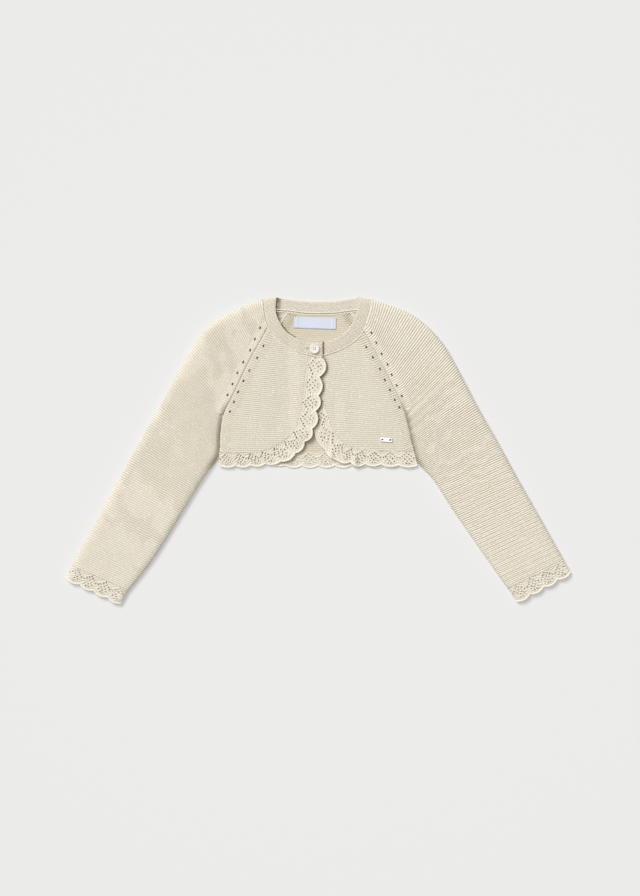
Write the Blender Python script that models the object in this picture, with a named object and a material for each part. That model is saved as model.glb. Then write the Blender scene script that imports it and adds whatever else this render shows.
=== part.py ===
"""A child's knitted bolero jacket with raglan sleeves, laid flat on its back.

The wearer's right is at -X, the neck at +Y, and the floor is the plane Z = 0.
The back lies on the floor, the two fronts lie on it, and the right front laps
over the left one under the button. Each sleeve is a flattened tube of two
halves, over and under, that meet along its folds. Sizes are in millimetres,
and the meshes are built in metres.
"""

import math

import bmesh
import bpy
import numpy as np

MM = 0.001

# Driving sizes
KNIT = 2.0  # thickness of the ridged knit
BAND = 2.6  # thickness of the doubled neckband
LACE = 1.6  # thickness of the lace edging
SEAM_GAP = 0.4  # clear space between two pieces that are sewn together
FOLD_LEVEL = 3.0  # height at which the over and the under half of a tube meet
FOLD_ROUND = 9.0  # how far in from a fold the cloth takes to level out
FOLD_TURNS = (0, 30, 60, 90)  # degrees of that turn at which the cloth has points
FRONT_BAND_TOP = 5.8  # height of the neckband on the fronts
LAP_RISE = 2.9  # how far the right front is lifted where it laps the left
BAND_EDGE_DROP = 0.8  # how far the top of the neckband rolls down at its edges
RIM_RISE = 0.6  # how far the rolled rim of the lace stands out
RIM_WIDTH = 1.6  # from the edge of the lace to the top of that rim

# How finely the pieces are divided
SLEEVE_ROWS = 34
PANEL_ROWS = 30
BAND_MIDDLE = 14  # divisions of a neckband between its folds
SLEEVE_MIDDLE = 3  # divisions of a sleeve between its folds
SCALLOP_STEPS = 5  # straight pieces in each scallop
PANEL_SHARES = (0.0, 0.06, 0.2, 0.4, 0.6, 0.8, 0.94, 1.0)
BAND_SHARES = (0.0, 0.12, 0.5, 0.88, 1.0)

# Sleeves, from the neck to the cuff. A row is a line across the sleeve, from the fold
# along the top of the arm to the seam: front_ is that seam on the over half, back_ on
# the under half, and height is how high the sleeve lies.
SLEEVE_COLUMNS = ("fold_x", "fold_y", "front_x", "front_y", "back_x", "back_y", "height")
SLEEVES = {
    "right": (
        (-74, 197, -67, 161, -41, 181, 5.9),
        (-101, 186, -78, 141, -55, 159, 6.4),
        (-128, 173, -92, 116, -72, 131, 7.0),
        (-149, 155, -103, 93, -89, 104, 7.4),
        (-167, 130, -114, 70, -107, 75, 7.6),
        (-180, 107, -125, 47, -125, 47, 7.6),
        (-194, 82, -129, 22, -129, 22, 7.6),
        (-210, 53, -131, -6, -131, -6, 7.6),
        (-228, 22, -148, -30, -148, -30, 7.4),
        (-262, -40, -181, -83, -181, -83, 7.2),
        (-296, -103, -218, -142, -218, -142, 7.0),
        (-322, -149, -248, -181, -248, -181, 6.6),
    ),
    "left": (
        (67, 197, 57, 157, 41, 181, 5.9),
        (94, 188, 70, 134, 55, 157, 6.4),
        (123, 175, 82, 112, 70, 131, 7.0),
        (144, 158, 93, 90, 85, 104, 7.4),
        (161, 138, 103, 70, 99, 77, 7.6),
        (174, 116, 110, 52, 110, 52, 7.6),
        (189, 88, 116, 31, 116, 31, 7.6),
        (203, 61, 121, 7, 121, 7, 7.6),
        (216, 38, 127, -13, 127, -13, 7.6),
        (232, 10, 145, -32, 145, -32, 7.4),
        (255, -32, 170, -70, 170, -70, 7.2),
        (288, -90, 209, -127, 209, -127, 7.0),
        (318, -143, 245, -178, 245, -178, 6.6),
    ),
}
ARMPIT_ROW = 5  # the row of both tables at which the raglan seam ends
FOLD_GROWS_OVER = 22.0  # length of sleeve past the armpit over which its inner edge folds
NECK_FADE = 60.0  # length of sleeve over which its rows stop following the neckband

# Soft folds in the over half of each sleeve: the two ends of the fold, how far it
# spreads to each side, and how far it rises, or sinks if that is negative.
FOLD_COLUMNS = ("from_x", "from_y", "to_x", "to_y", "spread", "rise")
SOFT_FOLDS = {
    "right": (
        (-128, 128, -131, 66, 8, -1.3),
        (-150, 120, -168, 45, 14, 0.5),
        (-205, -20, -262, -62, 9, -0.5),
    ),
    "left": (
        (133, 130, 178, 34, 10, -1.4),
        (152, 152, 196, 60, 10, 0.7),
        (189, -61, 232, -83, 7, -0.7),
        (250, -118, 286, -112, 6, -0.5),
    ),
}

# Lace of the cuffs: which way it points, and how far it reaches at the two folds
CUFFS = {
    "right": {"towards_x": -0.47, "towards_y": -0.88, "at_fold": 18.0, "at_seam": 20.5},
    "left": {"towards_x": 0.53, "towards_y": -0.85, "at_fold": 17.5, "at_seam": 21.5},
}
CUFF_SCALLOPS = {"count": 4, "bulge": 3.5, "height": 5.6}
LACE_RINGS = ((0, 0), (0.5, 0), (0.8, 0), (0.91, RIM_RISE), (1, 0))  # share of its length, rise

# Neckband, as sections across it: the edge at the neck, and the edge sewn to the garment.
BAND_COLUMNS = ("neck_x", "neck_y", "sewn_x", "sewn_y")
NECKBANDS = {
    "right": (
        (-56, 200, -74, 197),
        (-57, 188, -73, 185),
        (-56, 177, -71, 172),
        (-51, 166, -67, 161),
        (-44, 156, -57, 147),
        (-33, 148, -44, 136.5),
        (-21, 143, -28, 129.5),
        (-10, 142, -11, 125),
        (4, 142, 4, 122),
    ),
    "left": (
        (51, 200, 67, 197),
        (50, 188, 66, 185),
        (47, 177, 62, 171),
        (42, 166, 57, 157),
        (34, 156, 47, 145),
        (23, 148, 34, 136),
        (10, 143, 18, 129),
        (-5, 142, -1, 124.5),
        (-18, 142, -18, 124.5),
    ),
    "back": (
        (-56, 200, -74, 197),
        (-51, 198.5, -68, 187),
        (-44, 197.5, -54, 182),
        (-36, 196.5, -41, 181),
        (-22, 195, -24, 178.5),
        (0, 194, 0, 177.5),
        (22, 195, 24, 178.5),
        (32, 196.5, 41, 181),
        (39, 197.5, 52, 182),
        (46, 198.5, 62, 187),
        (51, 200, 67, 197),
    ),
}
RAGLAN_SECTION = 3  # the section of each neckband, from its end, where the raglan seam meets it

# Lace of the fronts, from the neckband to the side. A row is one notch of the scalloped
# edge with the point of the sewn edge beside it, and bulge is how far the scallop that
# ends at that notch stands out.
LACE_COLUMNS = ("notch_x", "notch_y", "sewn_x", "sewn_y", "bulge")
FRONT_LACES = {
    "right": (
        (4, 121.3, -14, 124.6, 0),
        (0, 96, -19, 100, 7),
        (-1, 72, -21.5, 74, 5),
        (-5, 52, -25, 53, 5),
        (-9, 29, -31, 32, 5.5),
        (-19, 12, -41, 18, 5),
        (-31, -3, -54, 8.5, 4),
        (-50, -14, -68, 2.5, 4),
        (-70, -17, -84, -1, 3),
        (-89, -19, -98, -2.5, 3),
        (-109, -19.5, -114, -2.5, 3),
        (-130.5, -19.5, -130.5, -2.5, 3),
    ),
    "left": (
        (-17.5, 123.4, 1, 123.4, 0),
        (-14, 96, 4, 100, 4),
        (-13, 72, 6, 74, 4),
        (-11, 51, 8.5, 55, 4),
        (-7.5, 28, 14, 36, 4),
        (7, 1, 28, 14, 3.5),
        (23, -13, 37, 7, 3),
        (40, -14.5, 49, 3, 3),
        (59, -17.5, 63, 1, 5),
        (80, -18, 81, -0.5, 3),
        (103, -19, 103, -0.5, 3),
        (127.5, -19.5, 123, -0.5, 3),
    ),
}
BACK_LACE = {"right": -130.5, "left": 123.0, "flare": 4.5, "sewn": -2.0, "notch": -19.5}
BACK_SCALLOPS = {"count": 12, "bulge": 3.2}
COURSE_LEAN = 0.105  # slope of the courses of a front, rising to the centre

BUTTON = {"x": -6.5, "y": 132.7, "diameter": 12.7, "thick": 2.4, "hole": 1.6, "circle": 3.6}
BUTTON_RIM = {"width": 1.6, "rise": 0.5}
PLAQUE = {"x": 87.0, "y": 14.6, "length": 16.0, "width": 5.5, "thick": 1.0, "hole": 1.5, "turn": -3.0}
PLAQUE_INSET = 2.6  # from the end of the plaque to its hole
LABEL = {"x": -5.8, "y": 166.3, "length": 55.0, "width": 14.5, "thick": 1.0, "turn": -2.0}

# Colour, roughness and metallic value of each material
MATERIALS = {
    "knit": ((0.74, 0.69, 0.57), 0.9, 0.0),
    "band": ((0.70, 0.64, 0.52), 0.9, 0.0),
    "lace": ((0.76, 0.71, 0.59), 0.9, 0.0),
    "pearl": ((0.90, 0.88, 0.84), 0.25, 0.0),
    "steel": ((0.80, 0.79, 0.80), 0.25, 1.0),
    "woven": ((0.68, 0.76, 0.88), 0.8, 0.0),
}


def columns(table, names, *wanted):
    """The wanted columns of a table, as an array with a row for each of its rows."""
    return np.array([[row[names.index(name)] for name in wanted] for row in table], float)


def lengths_along(points):
    """Length along a line of points, from its start to each point."""
    steps = np.linalg.norm(np.diff(points, axis=0), axis=1)
    return np.concatenate([[0.0], np.cumsum(steps)])


def through(knots, values, at):
    """A smooth curve through the values at the knots, read at the places given."""
    steps = np.diff(knots)[:, None]
    slopes = np.diff(values, axis=0) / steps
    inner = (slopes[:-1] * steps[1:] + slopes[1:] * steps[:-1]) / (steps[1:] + steps[:-1])
    tangents = np.vstack([slopes[:1], inner, slopes[-1:]])
    k = np.clip(np.searchsorted(knots, at, side="right") - 1, 0, len(steps) - 1)
    u = ((np.asarray(at) - knots[k]) / steps[k, 0])[:, None]
    place = values[k] * (1 + 2 * u) * (1 - u) ** 2 + values[k + 1] * u * u * (3 - 2 * u)
    lean = tangents[k] * u * (1 - u) ** 2 - tangents[k + 1] * u * u * (1 - u)
    return place + steps[k] * lean


def ramp(value, low, high):
    """0 below low, 1 above high, and smooth between them."""
    t = np.clip((value - low) / (high - low), 0.0, 1.0)
    return t * t * (3 - 2 * t)


def bell(value, centre, width):
    """1 at the centre, fading to nothing over about twice the width."""
    return np.exp(-(((value - centre) / width) ** 2))


def moved_left(line, distance):
    """A line of plan points moved to its left, at right angles to itself."""
    along = np.gradient(line, axis=0)
    along /= np.linalg.norm(along, axis=1)[:, None]
    return line + distance * np.stack([-along[:, 1], along[:, 0]], axis=1)


def front_bed(x, y):
    """Height of the underside of the fronts, which lie on the back with a little air."""
    lying = 2.4 + 0.6 * ramp(y, -20, 50)
    chest = 0.9 * bell(np.abs(x), 68, 30) * ramp(y, -15, 25)
    return lying + chest


def under_side(side, x, y):
    """Height of the underside of one front: the lap of the right, the waves of the left."""
    if side == "right":
        return front_bed(x, y) + LAP_RISE * ramp(x, -42, -24) * ramp(y, 3, 20)
    first = 2.2 * bell(x, 15, 3.5) * ramp(-y, -6, 8)
    second = 2.6 * bell(x, 46, 4) * ramp(-y, -2, 10)
    return front_bed(x, y) + first + second


def material(name):
    """The Principled material of that name, made the first time it is asked for."""
    found = bpy.data.materials.get(name)
    if found:
        return found
    colour, roughness, metallic = MATERIALS[name]
    made = bpy.data.materials.new(name)
    made.use_nodes = True
    shader = made.node_tree.nodes["Principled BSDF"]
    shader.inputs["Base Color"].default_value = (*colour, 1)
    shader.inputs["Roughness"].default_value = roughness
    shader.inputs["Metallic"].default_value = metallic
    return made


def add_piece(name, mesh_data, finish):
    """Links a finished bmesh as the object of that name, with its faces turned outwards."""
    bmesh.ops.recalc_face_normals(mesh_data, faces=mesh_data.faces)
    mesh = bpy.data.meshes.new(name)
    mesh_data.to_mesh(mesh)
    mesh_data.free()
    mesh.materials.append(material(finish))
    piece = bpy.data.objects.new(name, mesh)
    bpy.context.scene.collection.objects.link(piece)
    return piece


def add_wall(name, skins, finish):
    """A closed wall between two skins, which are grids of the same number of points."""
    mesh_data = bmesh.new()
    sheets = [[[mesh_data.verts.new(point * MM) for point in row] for row in skin] for skin in skins]
    for rows in sheets:
        for upper, lower in zip(rows, rows[1:]):
            for a, b, c, d in zip(upper, upper[1:], lower[1:], lower):
                mesh_data.faces.new((a, b, c, d))
    rims = []
    for rows in sheets:
        rims.append(rows[0] + [row[-1] for row in rows[1:-1]] + rows[-1][::-1] + [row[0] for row in rows[-2:0:-1]])
    for k, (outer, inner) in enumerate(zip(*rims)):
        mesh_data.faces.new((rims[0][k - 1], outer, inner, rims[1][k - 1]))
    return add_piece(name, mesh_data, finish)


def tube_half(half, width, height, folded, sewn_top, depth, middle):
    """Points across one half of a flattened tube, on its outer skin or at a depth in it.

    Each row of the tube has its width and height. Folded is 1 where its far edge is a
    fold, and 0 where that edge is sewn to cloth that lies at the height sewn_top.
    Returns the distance from the near fold and the height of every point.
    """
    turn = np.radians(FOLD_TURNS)
    near = depth + (FOLD_ROUND - depth) * (1 - np.cos(turn)) + 0 * width
    far_fold = width - SEAM_GAP / 2 - near[:, ::-1]
    far_sewn = width - SEAM_GAP / 2 - FOLD_ROUND * (1 - np.cos(turn))[::-1]
    far = far_sewn + (far_fold - far_sewn) * folded
    between = np.arange(1, middle) / middle
    centre = near[:, -1:] + (far[:, :1] - near[:, -1:]) * between
    distance = np.hstack([near, centre, far])
    near_rise = np.sin(turn) + 0 * width
    far_rise = 1 - folded * (1 - np.sin(turn[::-1]))
    rise = np.hstack([near_rise, 1 + 0 * centre, far_rise])
    if half == "under":
        rim = FOLD_LEVEL - SEAM_GAP / 2
        return distance, rim + (depth - rim) * rise
    rim = FOLD_LEVEL + SEAM_GAP / 2
    z = rim + (height - depth - rim) * rise
    return distance, z - (1 - folded) * (height - sewn_top) * ramp(distance / width, 0.15, 1)


def sleeve_rows(side, half, at_shares):
    """Fold point, seam point, height, fold share and length of a sleeve at each row."""
    table = SLEEVES[side]
    sewn = ("front_x", "front_y") if half == "over" else ("back_x", "back_y")
    knots = lengths_along(columns(table, SLEEVE_COLUMNS, "fold_x", "fold_y"))
    at = knots[-1] * at_shares
    read = through(knots, columns(table, SLEEVE_COLUMNS, "fold_x", "fold_y", *sewn, "height"), at)
    folded = ramp(at, knots[ARMPIT_ROW], knots[ARMPIT_ROW] + FOLD_GROWS_OVER)
    return read[:, :2], read[:, 2:4], read[:, 4:], folded[:, None], at


def neck_bow(side, half, shares):
    """How far the edge of the neckband bows from a straight line, where a sleeve meets it."""
    table = NECKBANDS["back" if half == "under" else side]
    sewn = columns(table, BAND_COLUMNS, "sewn_x", "sewn_y")
    if half == "under" and side == "left":
        sewn = sewn[::-1]
    knots = lengths_along(sewn)
    even = np.linspace(0, 1, 41)
    edge = through(knots, sewn, knots[RAGLAN_SECTION] * even)
    bow = edge - (edge[:1] + (edge[-1:] - edge[:1]) * even[:, None])
    return np.stack([np.interp(shares, even, bow[:, k]) for k in (0, 1)], axis=-1)


def soft_folds(side, plan):
    """How far the soft folds of a sleeve move each plan point up or down."""
    moved = np.zeros(plan.shape[:-1])
    for from_x, from_y, to_x, to_y, spread, rise in SOFT_FOLDS[side]:
        start, along = np.array([from_x, from_y]), np.array([to_x - from_x, to_y - from_y])
        place = np.clip((plan - start) @ along / (along @ along), 0, 1)
        away = np.linalg.norm(plan - start - place[..., None] * along, axis=-1)
        moved += rise * bell(away, 0, spread)
    return moved


def sleeve_skin(side, half, depth):
    """One skin of half a sleeve, as a grid of points from the neck to the cuff."""
    fold, seam, height, folded, at = sleeve_rows(side, half, np.linspace(0, 1, SLEEVE_ROWS))
    width = np.linalg.norm(seam - fold, axis=1)[:, None]
    sewn_top = front_bed(seam[:, :1], seam[:, 1:]) + KNIT
    distance, z = tube_half(half, width, height, folded, sewn_top, depth, SLEEVE_MIDDLE)
    share = distance / width
    plan = fold[:, None] + (seam - fold)[:, None] * share[..., None]
    if half == "over":
        z = z + soft_folds(side, plan) * ramp(share, 0, 0.15) * ramp(1 - share, 0, 0.15)
    fade = np.clip(1 - at / NECK_FADE, 0, 1) ** 2
    plan += fade[:, None, None] * neck_bow(side, half, share)
    away = plan[1] - plan[0]
    plan[0] += SEAM_GAP * away / np.linalg.norm(away, axis=1)[:, None]
    return np.concatenate([plan, z[..., None]], axis=2)


def cuff_skin(side, half, depth):
    """One skin of half the lace of a cuff, from the sleeve to the scalloped edge."""
    fold, seam, height, folded, _ = sleeve_rows(side, half, np.array([1.0]))
    width = np.linalg.norm(seam - fold, axis=1)[:, None]
    count = CUFF_SCALLOPS["count"]
    cuff = CUFFS[side]
    towards = np.array([cuff["towards_x"], cuff["towards_y"]])
    rows = []
    for share, raised in LACE_RINGS:
        low = height + (CUFF_SCALLOPS["height"] - height) * share + raised
        distance, z = tube_half(half, width, low, folded, low, depth, count * SCALLOP_STEPS - 4)
        across = distance[0] / width[0]
        swell = CUFF_SCALLOPS["bulge"] * np.abs(np.sin(np.pi * count * across)) ** 0.8
        length = cuff["at_fold"] + (cuff["at_seam"] - cuff["at_fold"]) * across
        out = SEAM_GAP + (length - SEAM_GAP + swell) * share
        plan = fold + (seam - fold) * across[:, None] + towards * out[:, None]
        rows.append(np.column_stack([plan, z[0]]))
    return np.array(rows)


def add_sleeves():
    """Both sleeves and the lace of their cuffs, as an over and an under half each."""
    for side in ("right", "left"):
        for half in ("over", "under"):
            skins = [sleeve_skin(side, half, depth) for depth in (0.0, KNIT)]
            add_wall(f"sleeve_{side}_{half}", skins, "knit")
            skins = [cuff_skin(side, half, depth) for depth in (0.0, LACE)]
            add_wall(f"lace_cuff_{side}_{half}", skins, "lace")


def band_skin(name, depth):
    """One skin of a neckband, as a grid of points along it and across it."""
    sections = columns(NECKBANDS[name], BAND_COLUMNS, *BAND_COLUMNS)
    knots = lengths_along((sections[:, :2] + sections[:, 2:]) / 2)
    length = knots[-1:, None]
    half = "under" if name == "back" else "over"
    folded = np.array([[1.0 if name == "back" else 0.0]])
    top = np.array([[FRONT_BAND_TOP]])
    along, z = tube_half(half, length, top, folded, top, depth, BAND_MIDDLE)
    read = through(knots, sections, along[0])
    shares = np.array(BAND_SHARES)
    reach = read[:, 2:] - read[:, :2]
    reach *= 1 - SEAM_GAP / 2 / np.linalg.norm(reach, axis=1)[:, None]
    plan = read[:, None, :2] + reach[:, None] * shares[:, None]
    z = z[0][:, None] + 0 * shares
    if name == "right":
        z = z + LAP_RISE * ramp(plan[..., 0], -42, -24)
    if (half == "over") == (depth == 0):
        level = ramp(along[0], 0, FOLD_ROUND)[:, None]
        z = z - BAND_EDGE_DROP * level * np.abs(2 * shares - 1) ** 3
    return np.concatenate([plan, z[..., None]], axis=2)


def add_neckband():
    """The doubled neckband, as two fronts that lap at the centre, and a back."""
    for name in ("right", "left", "back"):
        add_wall(f"neckband_{name}", [band_skin(name, depth) for depth in (0.0, BAND)], "band")


def raglan_line(side, half):
    """The seam of a sleeve with the body, as plan points from the neck to the cuff."""
    return sleeve_rows(side, half, np.linspace(0, 1, 241))[1]


def row_level(line, lean):
    """Which row of a leaning front passes through each plan point."""
    level = line[:, 1].copy()
    for _ in range(30):
        level = line[:, 1] - lean * ramp(level, 0, 60) * (67 - np.abs(line[:, 0]))
    return level


def between_edges(sides, levels, lean):
    """Plan points of rows that run from one edge of a panel to the other at each level."""
    ends = []
    for line in sides:
        at = row_level(line, lean)
        order = np.argsort(at)
        ends.append(np.interp(levels, at[order], line[order, 0]))
    shares = np.array(PANEL_SHARES)
    x = ends[0][:, None] + (ends[1] - ends[0])[:, None] * shares
    y = levels[:, None] + lean * ramp(levels, 0, 60)[:, None] * (67 - np.abs(x))
    return np.stack([x, y], axis=2)


def front_plan(side):
    """Plan points of one front, in rows that follow its courses from the neck to the hem."""
    lace = columns(FRONT_LACES[side], LACE_COLUMNS, "sewn_x", "sewn_y")
    knots = lengths_along(lace)
    edging = through(knots, lace, np.linspace(0, knots[-1], 161))
    seam = raglan_line(side, "over")
    seam = np.vstack([seam[seam[:, 1] > lace[-1, 1] + 6], lace[-1:]])
    band = columns(NECKBANDS[side], BAND_COLUMNS, "sewn_x", "sewn_y")
    knots = lengths_along(band)
    collar = through(knots, band, np.linspace(knots[RAGLAN_SECTION], knots[-1], 61))
    inward = SEAM_GAP / 2 if side == "right" else -SEAM_GAP / 2
    clear = (lace[0, 0] - collar[:, 0]) * np.sign(inward) > 1
    centre = moved_left(np.vstack([collar[clear], edging]), -inward)
    seam = moved_left(seam, inward)
    top = row_level(collar[:1], COURSE_LEAN)[0] - 1.2
    bottom = edging[:, 1].min() + SEAM_GAP / 2
    levels = top + (bottom - top) * np.linspace(0, 1, PANEL_ROWS) ** 0.9
    return between_edges((seam, centre), levels, COURSE_LEAN)


def back_plan():
    """Plan points of the back, in rows from the neckband to the hem."""
    edges = []
    for side, inward in (("right", SEAM_GAP / 2), ("left", -SEAM_GAP / 2)):
        seam = raglan_line(side, "under")
        seam = seam[seam[:, 1] > BACK_LACE["sewn"] + 6]
        corner = [[BACK_LACE[side], BACK_LACE["sewn"]]]
        edges.append(moved_left(np.vstack([seam, corner]), inward))
    top = edges[0][:, 1].max() - SEAM_GAP / 2
    levels = np.linspace(top, BACK_LACE["sewn"] + SEAM_GAP / 2, PANEL_ROWS)
    plan = between_edges(edges, levels, 0.0)
    band = columns(NECKBANDS["back"], BAND_COLUMNS, "sewn_x", "sewn_y")
    knots = lengths_along(band)
    band = through(knots, band, np.linspace(0, knots[-1], 201))
    dip = np.interp(plan[..., 0], band[:, 0], band[:, 1]) - SEAM_GAP / 2 - top
    plan[..., 1] += np.clip(dip, -9, 0) * np.clip(1 - (top - plan[..., 1]) / 50, 0, 1)
    return plan


def add_body():
    """The two fronts and the back."""
    for side in ("right", "left"):
        plan = front_plan(side)
        low = under_side(side, plan[..., 0], plan[..., 1])
        skins = [np.dstack([plan, low + rise]) for rise in (KNIT, 0.0)]
        add_wall(f"front_{side}", skins, "knit")
    plan = back_plan()
    skins = [np.dstack([plan, rise + 0 * plan[..., 0]]) for rise in (KNIT, 0.0)]
    add_wall("back_panel", skins, "knit")


def lace_plan(notch, sewn, bulge):
    """Plan points of a lace edging, and how far each point is raised by its rolled rim."""
    steps = np.linspace(0, 1, SCALLOP_STEPS + 1)
    edge, inner = [notch[:1]], [sewn[:1]]
    knots = lengths_along(sewn)
    for k in range(1, len(notch)):
        chord = notch[k] - notch[k - 1]
        out = np.array([chord[1], -chord[0]]) / np.linalg.norm(chord)
        out *= np.sign(out @ (notch[k] - sewn[k]))
        t = steps[1:, None]
        swell = np.abs(np.sin(np.pi * t)) ** 0.8
        edge.append(notch[k - 1] + chord * t + out * bulge[k] * swell)
        inner.append(through(knots, sewn, knots[k - 1] + (knots[k] - knots[k - 1]) * steps[1:]))
    edge, inner = np.vstack(edge), np.vstack(inner)
    reach = edge - inner
    width = np.linalg.norm(reach, axis=1)[:, None]
    places = np.hstack([0 * width + SEAM_GAP / 2, width / 2, width - 2 * RIM_WIDTH, width - RIM_WIDTH, width])
    plan = inner[:, None] + reach[:, None] * (places / width)[..., None]
    return plan, np.array([0, 0, 0, RIM_RISE, -RIM_RISE / 2])


def add_laces():
    """The lace edgings of the fronts and of the back."""
    for side in ("right", "left"):
        table = columns(FRONT_LACES[side], LACE_COLUMNS, *LACE_COLUMNS)
        plan, raised = lace_plan(table[:, :2], table[:, 2:4], table[:, 4])
        low = under_side(side, plan[..., 0], plan[..., 1])
        skins = [np.dstack([plan, low + LACE + raised]), np.dstack([plan, low])]
        add_wall(f"lace_front_{side}", skins, "lace")
    count = BACK_SCALLOPS["count"] + 1
    sewn = np.column_stack([np.linspace(BACK_LACE["right"], BACK_LACE["left"], count), np.full(count, BACK_LACE["sewn"])])
    ends = BACK_LACE["right"], BACK_LACE["left"] + BACK_LACE["flare"]
    notch = np.column_stack([np.linspace(*ends, count), np.full(count, BACK_LACE["notch"])])
    plan, raised = lace_plan(notch, sewn, np.full(count, BACK_SCALLOPS["bulge"]))
    skins = [np.dstack([plan, LACE + raised + 0 * plan[..., 0]]), np.dstack([plan, 0 * plan[..., 0]])]
    add_wall("lace_back", skins, "lace")


def add_cutters(name, places, diameter, height):
    """Round cutters at the places given, as one hidden object."""
    mesh_data = bmesh.new()
    for x, y, z in places:
        made = bmesh.ops.create_cone(
            mesh_data, cap_ends=True, segments=12, radius1=diameter / 2 * MM, radius2=diameter / 2 * MM, depth=height * MM
        )
        bmesh.ops.translate(mesh_data, verts=made["verts"], vec=(x * MM, y * MM, z * MM))
    cutter = add_piece(name, mesh_data, "steel")
    cutter.hide_render = True
    cutter.display_type = "WIRE"
    return cutter


def cut(piece, cutter):
    """Cuts one object out of another."""
    modifier = piece.modifiers.new("holes", "BOOLEAN")
    modifier.operation = "DIFFERENCE"
    modifier.solver = "EXACT"
    modifier.object = cutter


def add_button():
    """A flat button with a raised rim and four holes, lying on the lapped neckband."""
    radius = BUTTON["diameter"] / 2
    inner = radius - BUTTON_RIM["width"]
    bottom = FRONT_BAND_TOP + LAP_RISE + SEAM_GAP
    face = bottom + BUTTON["thick"] - BUTTON_RIM["rise"]
    profile = (
        (radius - 1.0, bottom),
        (radius, bottom + 0.9),
        (radius - 0.2, face + 0.1),
        (radius - 0.8, face + BUTTON_RIM["rise"]),
        (inner, face),
    )
    mesh_data = bmesh.new()
    rings = []
    for ring_radius, z in profile:
        angles = np.radians(np.arange(0, 360, 15))
        points = [(BUTTON["x"] + ring_radius * math.cos(a), BUTTON["y"] + ring_radius * math.sin(a), z) for a in angles]
        rings.append([mesh_data.verts.new(np.array(point) * MM) for point in points])
    for lower, upper in zip(rings, rings[1:]):
        for k in range(len(lower)):
            mesh_data.faces.new((lower[k - 1], lower[k], upper[k], upper[k - 1]))
    mesh_data.faces.new(rings[0])
    mesh_data.faces.new(rings[-1])
    button = add_piece("button", mesh_data, "pearl")
    turns = [math.radians(angle) for angle in (45, 135, 225, 315)]
    reach = BUTTON["circle"] / 2
    places = [(BUTTON["x"] + reach * math.cos(t), BUTTON["y"] + reach * math.sin(t), face) for t in turns]
    cut(button, add_cutters("button_holes", places, BUTTON["hole"], 3 * BUTTON["thick"]))


def add_plate(name, sizes, z, finish):
    """A thin rectangular plate, turned in plan, with its underside at a height."""
    mesh_data = bmesh.new()
    made = bmesh.ops.create_cube(mesh_data, size=MM)
    bmesh.ops.scale(mesh_data, verts=made["verts"], vec=(sizes["length"], sizes["width"], sizes["thick"]))
    turn = math.radians(sizes["turn"])
    for vert in made["verts"]:
        x, y = vert.co.x, vert.co.y
        vert.co.x = sizes["x"] * MM + x * math.cos(turn) - y * math.sin(turn)
        vert.co.y = sizes["y"] * MM + x * math.sin(turn) + y * math.cos(turn)
        vert.co.z += (z + sizes["thick"] / 2) * MM
    return add_piece(name, mesh_data, finish)


def add_trims():
    """The metal plaque on the left front, and the label inside the back of the neck."""
    reach = PLAQUE["length"] / 2 - PLAQUE_INSET
    turn = math.radians(PLAQUE["turn"])
    across = np.array([-1, 1]) * reach
    x, y = PLAQUE["x"] + across * math.cos(turn), PLAQUE["y"] + across * math.sin(turn)
    corners_x = PLAQUE["x"] + PLAQUE["length"] / 2 * np.array([-1, -1, 1, 1])
    corners_y = PLAQUE["y"] + PLAQUE["width"] * np.array([-1, 1, -1, 1])
    z = under_side("left", corners_x, corners_y).max() + KNIT + SEAM_GAP
    plaque = add_plate("plaque", PLAQUE, z, "steel")
    places = [(x[k], y[k], z) for k in (0, 1)]
    cut(plaque, add_cutters("plaque_holes", places, PLAQUE["hole"], 4 * PLAQUE["thick"]))
    add_plate("neck_label", LABEL, KNIT + SEAM_GAP, "woven")


def clear_scene():
    """Starts from an empty scene."""
    for old in list(bpy.data.objects):
        bpy.data.objects.remove(old, do_unlink=True)


clear_scene()
add_body()
add_sleeves()
add_neckband()
add_laces()
add_button()
add_trims()
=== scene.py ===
import math

import bmesh
import bpy
import numpy as np
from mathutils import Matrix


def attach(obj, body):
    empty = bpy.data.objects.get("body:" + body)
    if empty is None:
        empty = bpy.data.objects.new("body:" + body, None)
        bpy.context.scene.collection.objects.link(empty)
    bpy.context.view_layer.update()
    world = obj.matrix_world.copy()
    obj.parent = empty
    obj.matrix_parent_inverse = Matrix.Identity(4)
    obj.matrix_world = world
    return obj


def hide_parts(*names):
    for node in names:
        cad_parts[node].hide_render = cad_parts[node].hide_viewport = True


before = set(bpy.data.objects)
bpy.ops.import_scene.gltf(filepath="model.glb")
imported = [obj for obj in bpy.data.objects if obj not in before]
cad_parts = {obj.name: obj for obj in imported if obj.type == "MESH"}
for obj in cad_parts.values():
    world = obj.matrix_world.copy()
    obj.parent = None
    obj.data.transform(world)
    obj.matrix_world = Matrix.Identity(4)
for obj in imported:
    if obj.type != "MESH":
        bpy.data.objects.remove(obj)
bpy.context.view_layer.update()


# Camera, lights and floor. The jacket is seen from straight above with a long lens, in
# broad soft light from the upper left, on a pale table that glows a little: painted light.
PIXEL = 0.0013  # metres of the floor in one pixel of the picture
PICTURE_TALL = 896
LENS = 85.0
SENSOR = 36.0
CLOTH_LEVEL = 0.005
MIDDLE = (0.00065, 0.0039)


def placed(name, data):
    """A new object in the scene, with the data given."""
    piece = bpy.data.objects.new(name, data)
    bpy.context.scene.collection.objects.link(piece)
    return piece


def new_material(name):
    """A new material, with its nodes, its links and its shader."""
    material = bpy.data.materials.new(name)
    material.use_nodes = True
    nodes = material.node_tree.nodes
    return material, nodes, material.node_tree.links, nodes["Principled BSDF"]


def set_inputs(node, values):
    """Sets the values of a node's own sockets, given by their names or numbers."""
    for socket, value in values.items():
        node.inputs[socket].default_value = value


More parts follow.
